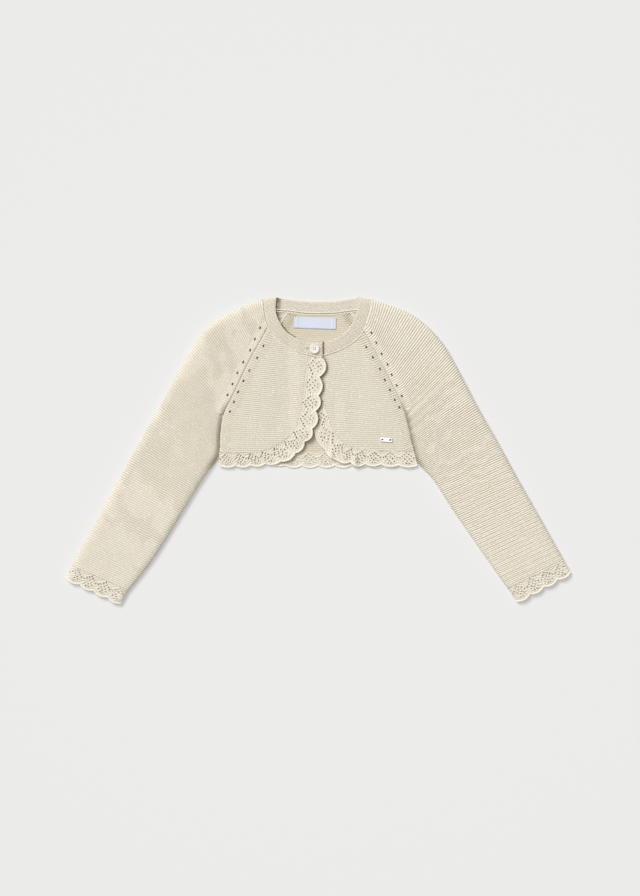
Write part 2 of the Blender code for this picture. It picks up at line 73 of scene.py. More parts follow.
camera_data = bpy.data.cameras.new("camera")
camera_data.lens = LENS
camera_data.sensor_width = SENSOR
camera_data.clip_end = 20
camera = placed("camera", camera_data)
camera.location = (*MIDDLE, CLOTH_LEVEL + PIXEL * PICTURE_TALL * LENS / SENSOR)
bpy.context.scene.camera = camera
bpy.context.scene.view_settings.view_transform = "Standard"

key_data = bpy.data.lights.new("key", "SUN")
key_data.energy = 2.5
key_data.angle = math.radians(30)
key_data.color = (1.0, 0.985, 0.96)
key = placed("key", key_data)
key.rotation_euler = (math.radians(-34), math.radians(-32), 0)

world = bpy.data.worlds.new("studio")
world.use_nodes = True
set_inputs(world.node_tree.nodes["Background"], {"Color": (0.97, 0.985, 1.0, 1), "Strength": 0.235})
bpy.context.scene.world = world

overhead_data = bpy.data.lights.new("overhead", "AREA")
overhead_data.shape = "SQUARE"
overhead_data.size = 2.4
overhead_data.energy = 31
overhead = placed("overhead", overhead_data)
overhead.location = (0, 0, 3.4)

bpy.ops.object.select_all(action="DESELECT")
bpy.ops.mesh.primitive_plane_add(size=8, location=(0, 0, -0.0003))
floor = bpy.context.object
floor.name = "floor"
floor_paint, _, _, shader = new_material("floor")
set_inputs(shader, {"Base Color": (0.58, 0.58, 0.58, 1), "Roughness": 0.95, "Specular IOR Level": 0.1})
# Painted light: the floor glows, which lightens the shadows cast on it.
set_inputs(shader, {"Emission Color": (1.0, 0.995, 0.985, 1), "Emission Strength": 0.25})
floor.data.materials.append(floor_paint)


# Sleeves. Each is one ridged panel of cotton knit with a fine glitter thread, sewn into
# a tube under the arm and to the body along the raglan. It lies flattened on its folds.
MM = 0.001
KNIT = 2.0
SEAM_SHOWN = 0.06  # clear space left at a seam of the finished cloth
FOLD_LEVEL = 3.0
FOLD_ROUND = 9.0
FOLD_TURNS = np.linspace(0, 90, 8)
SEAM_TURNS = np.linspace(0, 90, 22)  # finer, for the eyelets beside the seams
RIDGES = {"right": 146, "left": 150}  # raised courses from the neck to the cuff
CLOSER_AT_CUFF = {"right": 0.02, "left": 0.2}
RIDGE_PITCH = 2.86
ROWS_A_RIDGE = 4
RIDGE_RISE = 1.25
RIDGE_SHADE = 0.5
COMB_WIDE = 12.0  # the strip of comb-like ridges beside a raglan seam
INNER_PRESS = 0.45  # how far the inner fold is pressed down beside the body
NECK_SHADE = 0.74  # depth of shade inside the neck, beneath the standing neckband
STITCH = 2.0
SLEEVE_ACROSS = (64, 36)  # divisions between the folds of the over and the under half
REVERSE_ROWS = 91
REVERSE_ACROSS = (12, 10)
REVERSE_TURNS = np.linspace(0, 90, 4)
COMB_RISE = 1.2
COMB_SHADE = 0.36
CALMER_AT_CUFF = 0.22  # share by which the ridges are lower near the cuff
EYELET_SIZE = (0.95, 1.6)  # half width and half length of an eyelet beside a raglan seam
EYELET_DEEP = {"sleeve": 1.3, "front": 1.2}
SMOOTH_UP_TO = 72  # degrees between two faces past which their edge stays sharp
SLEEVE_COLUMNS = ("fold_x", "fold_y", "front_x", "front_y", "back_x", "back_y", "height")
SLEEVES = {
    "right": (
        (-74, 197, -67, 161, -41, 181, 5.9),
        (-101, 186, -78, 141, -55, 159, 6.4),
        (-128, 173, -92, 116, -72, 131, 7.0),
        (-149, 155, -103, 93, -89, 104, 7.4),
        (-167, 130, -114, 70, -107, 75, 7.6),
        (-180, 107, -125, 47, -125, 47, 7.6),
        (-194, 82, -129, 22, -129, 22, 7.6),
        (-210, 53, -131, -6, -131, -6, 7.6),
        (-228, 22, -148, -30, -148, -30, 7.4),
        (-262, -40, -181, -83, -181, -83, 7.2),
        (-296, -103, -218, -142, -218, -142, 7.0),
        (-322, -149, -248, -181, -248, -181, 6.6),
    ),
    "left": (
        (67, 197, 57, 157, 41, 181, 5.9),
        (94, 188, 70, 134, 55, 157, 6.4),
        (123, 175, 82, 112, 70, 131, 7.0),
        (144, 158, 93, 90, 85, 104, 7.4),
        (161, 138, 103, 70, 99, 77, 7.6),
        (174, 116, 110, 52, 110, 52, 7.6),
        (189, 88, 116, 31, 116, 31, 7.6),
        (203, 61, 121, 7, 121, 7, 7.6),
        (216, 38, 127, -13, 127, -13, 7.6),
        (232, 10, 145, -32, 145, -32, 7.4),
        (255, -32, 170, -70, 170, -70, 7.2),
        (288, -90, 209, -127, 209, -127, 7.0),
        (318, -143, 245, -178, 245, -178, 6.6),
    ),
}
ARMPIT_ROW = 5
FOLD_GROWS_OVER = 22.0
NECK_FADE = 60.0
RAGLAN_SECTION = 3
BAND_COLUMNS = ("neck_x", "neck_y", "sewn_x", "sewn_y")
NECKBANDS = {
    "right": (
        (-56, 200, -74, 197),
        (-57, 188, -73, 185),
        (-56, 177, -71, 172),
        (-51, 166, -67, 161),
        (-44, 156, -57, 147),
        (-33, 148, -44, 136.5),
        (-21, 143, -28, 129.5),
        (-10, 142, -11, 125),
        (4, 142, 4, 122),
    ),
    "left": (
        (51, 200, 67, 197),
        (50, 188, 66, 185),
        (47, 177, 62, 171),
        (42, 166, 57, 157),
        (34, 156, 47, 145),
        (23, 148, 34, 136),
        (10, 143, 18, 129),
        (-5, 142, -1, 124.5),
        (-18, 142, -18, 124.5),
    ),
    "back": (
        (-56, 200, -74, 197),
        (-51, 198.5, -68, 187),
        (-44, 197.5, -54, 182),
        (-36, 196.5, -41, 181),
        (-22, 195, -24, 178.5),
        (0, 194, 0, 177.5),
        (22, 195, 24, 178.5),
        (32, 196.5, 41, 181),
        (39, 197.5, 52, 182),
        (46, 198.5, 62, 187),
        (51, 200, 67, 197),
    ),
}
# Soft folds: the two ends of each, how far it spreads, and how far it rises or sinks.
OVER_FOLDS = {
    "right": (
        (-128, 128, -131, 66, 12, -0.65),
        (-150, 120, -168, 45, 18, 0.3),
        (-205, -20, -262, -62, 15, -0.2),
        (-168, 20, -196, -16, 12, -0.2),
        (-282, -128, -300, -134, 5, 0.25),
    ),
    "left": (
        (133, 130, 178, 34, 14, -0.7),
        (152, 152, 196, 60, 14, 0.4),
        (189, -61, 232, -83, 12, -0.3),
        (250, -118, 286, -112, 10, -0.25),
        (140, 30, 152, 0, 9, -0.25),
    ),
}
UNDER_FOLDS = {
    "right": (
        (-150, 60, -190, 10, 6, 0.9),
        (-214, -50, -250, -70, 6, 0.8),
        (-250, -96, -276, -104, 4, 0.6),
    ),
    "left": (
        (142, 60, 186, 12, 6, 0.9),
        (196, -40, 236, -66, 6, 0.7),
        (238, -100, 262, -92, 4, 0.6),
    ),
}
# Eyelets beside the front raglan seams, as plan points from the neck down.
SLEEVE_EYELETS = {
    "right": (
        *((-77, 160), (-84, 145.5), (-90, 131), (-99, 115.5)),
        *((-106.5, 101.5), (-113, 87), (-119.5, 73)),
    ),
    "left": (
        *((67.5, 153.5), (74, 140.5), (81, 126), (88.5, 112.5)),
        *((94, 99), (100.5, 85), (107, 71.5)),
    ),
}


def columns(table, names, *wanted):
    """The wanted columns of a table, as an array with a row for each of its rows."""
    return np.array([[row[names.index(name)] for name in wanted] for row in table], float)


def lengths_along(points):
    """Length along a line of points, from its start to each point."""
    steps = np.linalg.norm(np.diff(points, axis=0), axis=1)
    return np.concatenate([[0.0], np.cumsum(steps)])


def through(knots, values, at):
    """A smooth curve through the values at the knots, read at the places given."""
    steps = np.diff(knots)[:, None]
    slopes = np.diff(values, axis=0) / steps
    inner = (slopes[:-1] * steps[1:] + slopes[1:] * steps[:-1]) / (steps[1:] + steps[:-1])
    tangents = np.vstack([slopes[:1], inner, slopes[-1:]])
    k = np.clip(np.searchsorted(knots, at, side="right") - 1, 0, len(steps) - 1)
    u = ((np.asarray(at) - knots[k]) / steps[k, 0])[:, None]
    place = values[k] * (1 + 2 * u) * (1 - u) ** 2 + values[k + 1] * u * u * (3 - 2 * u)
    lean = tangents[k] * u * (1 - u) ** 2 - tangents[k + 1] * u * u * (1 - u)
    return place + steps[k] * lean


def smooth_line(points, count, first=0):
    """Points along a smooth curve through a line of points, from one of them to the last."""
    knots = lengths_along(points)
    return through(knots, points, np.linspace(knots[first], knots[-1], count))


def ramp(value, low, high):
    """0 below low, 1 above high, and smooth between them."""
    t = np.clip((value - low) / (high - low), 0.0, 1.0)
    return t * t * (3 - 2 * t)


def bell(value, centre, width):
    """1 at the centre, fading to nothing over about twice the width."""
    return np.exp(-(((value - centre) / width) ** 2))


def ripple(plan, seed, size):
    """A soft unevenness from -1 to 1 over plan points, from a few crossing waves."""
    rng = np.random.default_rng(seed)
    total = np.zeros(plan.shape[:-1])
    for _ in range(7):
        angle, phase = rng.uniform(0, 2 * math.pi, 2)
        stretch = size * rng.uniform(0.7, 1.6)
        along = plan[..., 0] * math.cos(angle) + plan[..., 1] * math.sin(angle)
        total += np.sin(2 * math.pi * along / stretch + phase)
    return total / 4


def front_bed(x, y):
    """Height of the underside of the fronts, which lie on the back with a little air."""
    lying = 2.4 + 0.6 * ramp(y, -20, 50)
    chest = 0.9 * bell(np.abs(x), 68, 30) * ramp(y, -15, 25)
    return lying + chest


def tube_half(half, width, height, folded, sewn_top, depth, middle, turns, far_turns):
    """Distance from the near fold and height of points across half a flattened tube."""
    turn, far_turn = np.radians(turns), np.radians(far_turns)[::-1]
    near = depth + (FOLD_ROUND - depth) * (1 - np.cos(turn)) + 0 * width
    far_fold = width - SEAM_SHOWN / 2 - depth - (FOLD_ROUND - depth) * (1 - np.cos(far_turn))
    far_sewn = width - SEAM_SHOWN / 2 - FOLD_ROUND * (1 - np.cos(far_turn))
    far = far_sewn + (far_fold - far_sewn) * folded
    between = np.arange(1, middle) / middle
    centre = near[:, -1:] + (far[:, :1] - near[:, -1:]) * between
    distance = np.hstack([near, centre, far])
    near_rise = np.sin(turn) + 0 * width
    far_rise = 1 - folded * (1 - np.sin(far_turn))
    rise = np.hstack([near_rise, 1 + 0 * centre, far_rise])
    if half == "under":
        return distance, FOLD_LEVEL + (depth - FOLD_LEVEL) * rise
    z = FOLD_LEVEL + (height - depth - FOLD_LEVEL) * rise
    return distance, z - (1 - folded) * (height - sewn_top) * ramp(distance / width, 0.15, 1)


def sleeve_rows(side, half, at_shares):
    """Fold point, seam point, height, fold share and length of a sleeve at each row."""
    table = SLEEVES[side]
    sewn = ("front_x", "front_y") if half == "over" else ("back_x", "back_y")
    knots = lengths_along(columns(table, SLEEVE_COLUMNS, "fold_x", "fold_y"))
    at = knots[-1] * at_shares
    read = through(knots, columns(table, SLEEVE_COLUMNS, "fold_x", "fold_y", *sewn, "height"), at)
    folded = ramp(at, knots[ARMPIT_ROW], knots[ARMPIT_ROW] + FOLD_GROWS_OVER)
    return read[:, :2], read[:, 2:4], read[:, 4:], folded[:, None], at


def sewn_edge(name):
    """The edge of a neckband that is sewn to the garment, as plan points."""
    return columns(NECKBANDS[name], BAND_COLUMNS, "sewn_x", "sewn_y")


def neck_bow(side, half, shares):
    """How far the edge of the neckband bows from a straight line, where a sleeve meets it."""
    sewn = sewn_edge("back" if half == "under" else side)
    if half == "under" and side == "left":
        sewn = sewn[::-1]
    knots = lengths_along(sewn)
    even = np.linspace(0, 1, 41)
    edge = through(knots, sewn, knots[RAGLAN_SECTION] * even)
    bow = edge - (edge[:1] + (edge[-1:] - edge[:1]) * even[:, None])
    return np.stack([np.interp(shares, even, bow[:, k]) for k in (0, 1)], axis=-1)


def soft_folds(table, plan):
    """How far the soft folds of a table move each plan point up or down."""
    moved = np.zeros(plan.shape[:-1])
    for from_x, from_y, to_x, to_y, spread, rise in table:
        start, along = np.array([from_x, from_y]), np.array([to_x - from_x, to_y - from_y])
        place = np.clip((plan - start) @ along / (along @ along), 0, 1)
        away = np.linalg.norm(plan - start - place[..., None] * along, axis=-1)
        moved += rise * bell(away, 0, spread)
    return moved


def sleeve_half(side, half, shares, depth, middle, turns, far_turns):
    """Points of one half of a sleeve, and how far each is from the raglan seam."""
    fold, seam, height, folded, at = sleeve_rows(side, half, shares)
    width = np.linalg.norm(seam - fold, axis=1)[:, None]
    sewn_top = front_bed(seam[:, :1], seam[:, 1:]) + KNIT
    distance, z = tube_half(half, width, height, folded, sewn_top, depth, middle, turns, far_turns)
    share = distance / width
    plan = fold[:, None] + (seam - fold)[:, None] * share[..., None]
    window = ramp(share, 0, 0.15) * ramp(1 - share, 0, 0.15)
    if half == "over":
        z = z + (soft_folds(OVER_FOLDS[side], plan) + 0.09 * ripple(plan, 3, 60)) * window
    else:
        z = z + np.clip(soft_folds(UNDER_FOLDS[side], plan), 0, 1) * window
    fade = np.clip(1 - at / NECK_FADE, 0, 1) ** 2
    plan = plan + fade[:, None, None] * neck_bow(side, half, share)
    away = plan[-1] - plan[0]
    plan[0] += SEAM_SHOWN * away / np.linalg.norm(away, axis=1)[:, None]
    from_seam = (width - distance) * (1 - folded) + 90 * folded
    return np.dstack([plan, z]), from_seam


def sleeve_skin(side, rows, depth, middles, turns, far_turns):
    """A skin of a whole sleeve, from its front seam over the fold to its back seam."""
    shares = np.linspace(0, 1, rows)
    over, over_away = sleeve_half(side, "over", shares, depth, middles[0], turns, far_turns)
    under, under_away = sleeve_half(side, "under", shares, depth, middles[1], turns, turns)
    points = np.concatenate([over[:, ::-1], under[:, 1:]], axis=1)
    away = np.concatenate([over_away[:, ::-1], under_away[:, 1:]], axis=1)
    return points, away, np.arange(points.shape[1]) < over.shape[1]


def grid_normals(points):
    """Unit normals of a grid, by the turn from its columns to its rows."""
    across, along = np.gradient(points, axis=1), np.gradient(points, axis=0)
    normals = np.cross(along, across)
    return normals / (np.linalg.norm(normals, axis=2)[..., None] + 1e-9)


def grid_outline(rows, across, first):
    """Vertex numbers along the four sides of a grid, in order round it."""
    at = first + np.arange(rows * across).reshape(rows, across)
    return at[0, :], at[:, -1], at[-1, ::-1], at[::-1, 0]


def strip_between(first, second):
    """Triangles between two lines of vertices that may differ in number."""
    i, j, made = 0, 0, []
    while i < len(first) - 1 or j < len(second) - 1:
        ahead = (i + 1) / max(len(first) - 1, 1)
        other = (j + 1) / max(len(second) - 1, 1)
        if j == len(second) - 1 or (i < len(first) - 1 and ahead <= other):
            made.append((first[i + 1], first[i], second[j]))
            i += 1
        else:
            made.append((second[j], second[j + 1], first[i]))
            j += 1
    return made


def cut_holes(face, reverse, pit, holes, part, sunk):
    """Rounds the edges of the holes in a grid, and returns which of its faces they take.

    A hole is a plan point, two radii, a turn and the part of the grid that it is in.
    """
    taken = np.zeros((face.shape[0] - 1, face.shape[1] - 1), bool)
    middle = (face[:-1, :-1, :2] + face[1:, 1:, :2]) / 2
    for x, y, radius_x, radius_y, turn, within in holes:
        turned = np.array([[math.cos(turn), math.sin(turn)], [-math.sin(turn), math.cos(turn)]])
        size = np.array([radius_x, radius_y])
        near = (np.abs(middle - (x, y)).max(axis=2) < 3 * size.max()) & (part[:-1, :-1] == within)
        inside = near.copy()
        inside[near] = np.linalg.norm((middle[near] - (x, y)) @ turned.T / size, axis=1) < 1
        touched, kept = np.zeros(face.shape[:2], bool), np.zeros(face.shape[:2], bool)
        for a, b in ((0, 0), (0, 1), (1, 0), (1, 1)):
            spot = (slice(a, a + inside.shape[0]), slice(b, b + inside.shape[1]))
            touched[spot] |= inside
            kept[spot] |= ~inside
        rim = touched & kept
        local = (face[rim][:, :2] - (x, y)) @ turned.T / size
        local /= np.linalg.norm(local, axis=1)[:, None] + 1e-9
        face[rim, :2] = (local * size) @ turned + (x, y)
        # Painted shade round the holes: the rims darken, most round wells, and so do the reverse rims of
        # holes that go through.
        if not sunk:
            reverse[rim, :2] = face[rim, :2]
            pit[1][rim] = 0.75
        pit[0][rim] = np.maximum(pit[0][rim], 0.9 if sunk else 0.5)
        taken |= inside
    return taken


def edges_of_holes(quads):
    """The edges round the holes, from the faces that the holes take, each one way round."""
    edges = {}
    for quad in quads.tolist():
        for a, b in zip(quad, quad[1:] + quad[:1]):
            if edges.pop((b, a), None) is None:
                edges[(a, b)] = True
    return list(edges)


def well_faces(edges, below):
    """The sides and bottoms of wells, from the edges of their rims and the points below."""
    faces = [(a, b, below[b], below[a]) for a, b in edges]
    after = dict(edges)
    while after:
        at, loop = next(iter(after)), []
        while at in after:
            loop.append(below[at])
            at = after.pop(at)
        faces.append(tuple(loop))
    return faces


def smooth_piece(name, points, maps, shade, faces, finishes, reverse_faces):
    """A piece from its points, UV map, shade and faces, with a finish for each side."""
    used = np.unique(np.concatenate([np.asarray(corners) for corners in faces]))
    renumber = np.full(len(points), -1)
    renumber[used] = np.arange(len(used))
    mesh = bpy.data.meshes.new(name)
    renumbered = [renumber[list(corners)].tolist() for corners in faces]
    mesh.from_pydata((points[used] * MM).tolist(), [], renumbered)
    corner = np.empty(len(mesh.loops), int)
    mesh.loops.foreach_get("vertex_index", corner)
    uv_map = mesh.uv_layers.new(name="cloth")
    uv_map.data.foreach_set("uv", maps[used][corner].astype(np.float32).ravel())
    in_shade = mesh.attributes.new("pit", "FLOAT", "POINT")
    in_shade.data.foreach_set("value", shade[used].astype(np.float32))
    for finish in finishes:
        mesh.materials.append(finish)
    slots = np.zeros(len(faces), int)
    slots[reverse_faces] = len(finishes) - 1
    mesh.polygons.foreach_set("material_index", slots)
    mesh_data = bmesh.new()
    mesh_data.from_mesh(mesh)
    bmesh.ops.recalc_face_normals(mesh_data, faces=mesh_data.faces)
    mesh_data.to_mesh(mesh)
    mesh_data.free()
    mesh.polygons.foreach_set("use_smooth", np.ones(len(faces), bool))
    mesh.set_sharp_from_angle(angle=math.radians(SMOOTH_UP_TO))
    piece = placed(name, mesh)
    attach(piece, "root")
    return piece


def cloth(name, face, reverse, uvs, pits, finishes, holes=(), part=None, sunk=0.0):
    """A closed shell of cloth between its face and its reverse, which may be coarser.

    Pits are how deep in shade each point lies, from 0 to 1. A hole goes through, which
    takes a reverse with the grid of the face, or is a well of the depth sunk.
    """
    face, reverse = face.copy(), reverse.copy()
    grids = (face, reverse)
    pits = [np.array(np.broadcast_to(pit, grid.shape[:2]), float) for pit, grid in zip(pits, grids)]
    part = np.zeros(face.shape[:2], int) if part is None else part
    taken = cut_holes(face, reverse, pits, holes, part, sunk > 0)
    first = face.shape[0] * face.shape[1]
    quads, outlines = [], []
    for grid, start in ((face, 0), (reverse, first)):
        at = start + np.arange(grid.shape[0] * grid.shape[1]).reshape(grid.shape[:2])
        quads.append(np.stack([at[:-1, :-1], at[1:, :-1], at[1:, 1:], at[:-1, 1:]], axis=2))
        outlines.append(grid_outline(*grid.shape[:2], start))
    points = [grid.reshape(-1, 3) for grid in grids]
    maps = [uv.reshape(-1, 2) for uv in uvs]
    shade = [pit.ravel() for pit in pits]
    shown = quads[0][~taken].tolist()
    back = quads[1][~taken] if holes and not sunk else quads[1].reshape(-1, 4)
    back = back[:, ::-1].tolist()
    edges = edges_of_holes(quads[0][taken])
    if sunk:
        ring = sorted({a for edge in edges for a in edge})
        below = {a: first + len(points[1]) + k for k, a in enumerate(ring)}
        points.append(points[0][ring] - (0, 0, sunk))
        maps.append(maps[0][ring])
        # Painted shade: the floor of each well lies fully in shade.
        shade.append(np.ones(len(ring)))
        walls = well_faces(edges, below)
    else:
        walls = [(a, b, b + first, a + first) for a, b in edges]
    for upper, lower in zip(*outlines):
        walls += strip_between(upper.tolist(), lower.tolist())
    points, maps, shade = np.vstack(points), np.vstack(maps), np.concatenate(shade)
    reverse_faces = slice(len(shown), len(shown) + len(back))
    return smooth_piece(name, points, maps, shade, shown + back + walls, finishes, reverse_faces)


def added(nodes, kind, values=None, **settings):
    """A new node of a kind, with settings of its own and values on its sockets."""
    node = nodes.new(f"ShaderNode{kind}")
    for setting, value in settings.items():
        setattr(node, setting, value)
    set_inputs(node, values or {})
    return node


YARN_SOCKETS = (
    ("INPUT", "Place", "Vector"),
    ("INPUT", "Colour", "Color"),
    ("INPUT", "Glitter", "Float"),
    ("INPUT", "Pit", "Float"),
    ("OUTPUT", "Colour", "Color"),
    ("OUTPUT", "Roughness", "Float"),
    ("OUTPUT", "Height", "Float"),
)


def yarn_group():
    """Node group: colour and height of spun cotton with a fine glitter thread in it."""
    group = bpy.data.node_groups.new("yarn", "ShaderNodeTree")
    for in_out, name, kind in YARN_SOCKETS:
        group.interface.new_socket(name=name, in_out=in_out, socket_type=f"NodeSocket{kind}")
    nodes, links = group.nodes, group.links
    inside = nodes.new("NodeGroupInput")
    outside = nodes.new("NodeGroupOutput")

    def noise(scale, detail):
        made = added(nodes, "TexNoise", {"Scale": scale, "Detail": detail})
        links.new(inside.outputs["Place"], made.inputs["Vector"])
        return made.outputs["Fac"]

    def spread(value, low, high, to_low, to_high):
        ends = {"From Min": low, "From Max": high, "To Min": to_low, "To Max": to_high}
        made = added(nodes, "MapRange", ends)
        links.new(value, made.inputs["Value"])
        return made.outputs["Result"]

    def tint(base, other, share, mode):
        made = added(nodes, "Mix", {7: other}, data_type="RGBA", blend_type=mode)
        links.new(share, made.inputs[0])
        links.new(base, made.inputs[6])
        return made.outputs[2]

    broad = spread(noise(45, 2), 0.35, 0.65, 0.0, 0.08)
    fine = spread(noise(620, 3), 0.3, 0.7, 0.0, 0.42)
    shaded = tint(inside.outputs["Colour"], (0.90, 0.85, 0.76, 1), broad, "MULTIPLY")
    shaded = tint(shaded, (0.84, 0.79, 0.70, 1), fine, "MULTIPLY")
    # Painted shade: the Pit input darkens the colour towards brown, for shade in ridge valleys, creases,
    # holes, beside the neckband and under lapped edges.
    shaded = tint(shaded, (0.23, 0.175, 0.09, 1), inside.outputs["Pit"], "MULTIPLY")
    # Glitter thread: its spots are mixed to a brighter colour, a painted glint for its sparkle, and get
    # a lower roughness, which is real.
    cells = added(nodes, "TexVoronoi", {"Scale": 900})
    links.new(inside.outputs["Place"], cells.inputs["Vector"])
    parts = added(nodes, "SeparateColor")
    links.new(cells.outputs["Color"], parts.inputs["Color"])
    sparkle = spread(parts.outputs["Red"], 0.93, 0.95, 0.0, 1.0)
    amount = added(nodes, "Math", operation="MULTIPLY")
    links.new(sparkle, amount.inputs[0])
    links.new(inside.outputs["Glitter"], amount.inputs[1])
    bright = tint(shaded, (1.0, 0.97, 0.88, 1), amount.outputs["Value"], "MIX")
    links.new(bright, outside.inputs["Colour"])
    links.new(spread(amount.outputs["Value"], 0, 1, 0.9, 0.3), outside.inputs["Roughness"])
    links.new(fine, outside.inputs["Height"])
    return group


yarn = yarn_group()
BAND_PITCH = 0.314159  # scale of a wave texture whose bands are one unit apart


def knit_material(name, colour, glitter, bump, across, along, along_share):
    """Matt cotton knit: the yarn group, with stitches from the UV map as fine bump."""
    material, nodes, links, shader = new_material(name)
    set_inputs(shader, {"Specular IOR Level": 0.25, "Sheen Weight": 0.12, "Sheen Roughness": 0.5})
    place = added(nodes, "TexCoord")
    pit = added(nodes, "Attribute", attribute_name="pit")
    spun = added(nodes, "Group", node_tree=yarn)
    set_inputs(spun, {"Colour": (*colour, 1), "Glitter": glitter})
    links.new(place.outputs["Object"], spun.inputs["Place"])
    links.new(pit.outputs["Fac"], spun.inputs["Pit"])
    links.new(spun.outputs["Colour"], shader.inputs["Base Color"])
    links.new(spun.outputs["Roughness"], shader.inputs["Roughness"])
    loops = added(nodes, "UVMap", uv_map="cloth")
    height = added(nodes, "Mix", {"Factor": along_share})
    for direction, pitch, socket in (("X", across, "A"), ("Y", along, "B")):
        bands = {"Scale": BAND_PITCH / pitch, "Distortion": 1.2, "Detail Scale": 0.6}
        wave = added(nodes, "TexWave", bands, bands_direction=direction)
        links.new(loops.outputs["UV"], wave.inputs["Vector"])
        links.new(wave.outputs["Fac"], height.inputs[socket])
    total = added(nodes, "Math", {1: 0.5}, operation="MULTIPLY_ADD")
    links.new(spun.outputs["Height"], total.inputs[0])
    links.new(height.outputs["Result"], total.inputs[2])
    relief = added(nodes, "Bump", {"Strength": bump, "Distance": 0.0004})
    links.new(total.outputs["Value"], relief.inputs["Height"])
    links.new(relief.outputs["Normal"], shader.inputs["Normal"])
    return material


CREAM = (0.93, 0.892, 0.782)
INSIDE_CREAM = (0.75, 0.69, 0.565)
ridged = knit_material("ridged_knit", CREAM, 0.45, 0.4, STITCH, RIDGE_PITCH / 2, 0.2)
ridged_inside = knit_material("ridged_knit_inside", INSIDE_CREAM, 0.2, 0.9, STITCH, RIDGE_PITCH, 0.65)


def bent(away, lean):
    """Share of a course by which a ridge turns aside in the comb beside a raglan edge."""
    return lean * (away - 1.5 * np.logaddexp(0, (away - COMB_WIDE) / 1.5))


def ridges(course, away, plan, bold, shade):
    """How far ridged knit stands out in millimetres, and how deep in shade it lies.

    Course counts the raised courses, which stand out like the teeth of a comb beside a
    raglan edge, whose distance is given by away.
    """
    wave = 0.5 + 0.5 * np.cos(2 * math.pi * (course + 0.06 * ripple(plan, 17, 26)))
    worn = 1 + 0.03 * ripple(plan, 11, 34)
    shown = ramp(away, 0.8, 2.2)
    comb = shown * (1 - ramp(away, COMB_WIDE - 2, COMB_WIDE + 2))
    rise = (bold * worn * (1 - comb) + COMB_RISE * comb) * wave * shown - 0.5 * bell(away, 0, 0.9)
    pit = (shade * worn * (1 - comb) + COMB_SHADE * comb) * (1 - wave) ** 2.2 * shown
    return rise, np.clip(pit + 0.6 * bell(away, 0, 0.8), 0, 1)


def eyelet_holes(points, part):
    """Oval holes at plan points, each turned along the line that the points make."""
    line = np.array(points, float)
    along = np.gradient(line, axis=0)
    turns = np.arctan2(along[:, 1], along[:, 0]) - math.pi / 2
    return [(x, y, *EYELET_SIZE, turn, part) for (x, y), turn in zip(line, turns)]


def spread_over(levels, grid):
    """A value for each row of a grid, given to all of its points."""
    return levels[:, None] + 0 * grid[..., 0]


def run_across(points):
    """Length along each row of a grid, from its first point."""
    return np.cumsum(np.linalg.norm(np.diff(points, axis=1, prepend=points[:, :1]), axis=2), axis=1)


def distance_to(line, plan):
    """Distance in plan from each point of a grid to a line of points."""
    found = np.full(plan.shape[:2], 1e9)
    for point in line[::2]:
        found = np.minimum(found, np.linalg.norm(plan - point, axis=2))
    return found


def neck_line():
    """The edge of the right neckband at the neck, as plan points down from the shoulder."""
    line = columns(NECKBANDS["right"], BAND_COLUMNS, "neck_x", "neck_y")
    return through(lengths_along(line), line, np.linspace(0, 62, 63))


def neck_shade(plan):
    """Depth of shade on what lies inside the neck, beside the standing right neckband."""
    reach = 2.2 + 5.2 * ramp(plan[..., 1], 164, 186)
    return NECK_SHADE * (1 - ramp(distance_to(neck_line(), plan), 0.45 * reach, 1.15 * reach))


def pressed(skin):
    """A skin of a sleeve, its inner fold pressed down beside the body, and that share."""
    inner = np.linalg.norm(skin[..., :2] - skin[:, :1, :2], axis=2)
    level = skin[:, :1, 1]
    beside = ramp(level, -30, -12) * (1 - ramp(level, 45, 72)) * bell(inner, 0, 4.5)
    skin[..., 2] *= 1 - INNER_PRESS * beside
    return skin, beside


def make_sleeve(side):
    """A whole sleeve: its panel runs from the front raglan round the arm to the back one."""
    rows = RIDGES[side] * ROWS_A_RIDGE + 1
    skin, away, over = sleeve_skin(side, rows, 0.0, SLEEVE_ACROSS, FOLD_TURNS, SEAM_TURNS)
    skin, beside = pressed(skin)
    normals = grid_normals(skin)
    normals *= np.sign(normals[rows // 2, 30, 2])
    length = np.linspace(0, 1, rows)
    counted = RIDGES[side] * length * (1 + CLOSER_AT_CUFF[side] * (length - 1))
    course = counted[:, None] + bent(away, -0.13)
    rise, pit = ridges(course, away, skin[..., :2], RIDGE_RISE, RIDGE_SHADE)
    near_cuff = ramp(length, 0.7, 0.95)[:, None]
    rise *= 1 - CALMER_AT_CUFF * near_cuff
    # Painted shade, with a little added evenly near the cuff where the ridges are calmer, and more in
    # the crease where the inner fold is pressed down beside the body, on the upper half.
    pit = pit * (1 - CALMER_AT_CUFF * near_cuff) + 0.06 * near_cuff + 0.45 * beside * over
    pit = np.clip(pit, 0, 1)
    beneath = ramp(-normals[..., 2], 0.1, 0.9)
    face = skin + normals * (rise - beneath * RIDGE_RISE * 1.2)[..., None]
    face[..., 2] = np.maximum(face[..., 2], 0.02)
    turns = (REVERSE_TURNS, REVERSE_TURNS)
    back, _, _ = sleeve_skin(side, REVERSE_ROWS, KNIT * 0.8, REVERSE_ACROSS, *turns)
    back, _ = pressed(back)
    lengths = spread_over(np.linspace(0, RIDGES[side] * RIDGE_PITCH, REVERSE_ROWS), back)
    uvs = np.dstack([run_across(skin), course * RIDGE_PITCH]), np.dstack([run_across(back), lengths])
    part = np.where(over, 1, 0)[None] + 0 * away.astype(int)
    holes = eyelet_holes(SLEEVE_EYELETS[side], 1)
    finishes = (ridged, ridged_inside)
    pits = (pit, neck_shade(back[..., :2]))
    piece = cloth(f"sleeve_{side}", face, back, uvs, pits, finishes, holes, part, EYELET_DEEP["sleeve"])
    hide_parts(f"sleeve_{side}_over", f"sleeve_{side}_under")


make_sleeve("right")
make_sleeve("left")


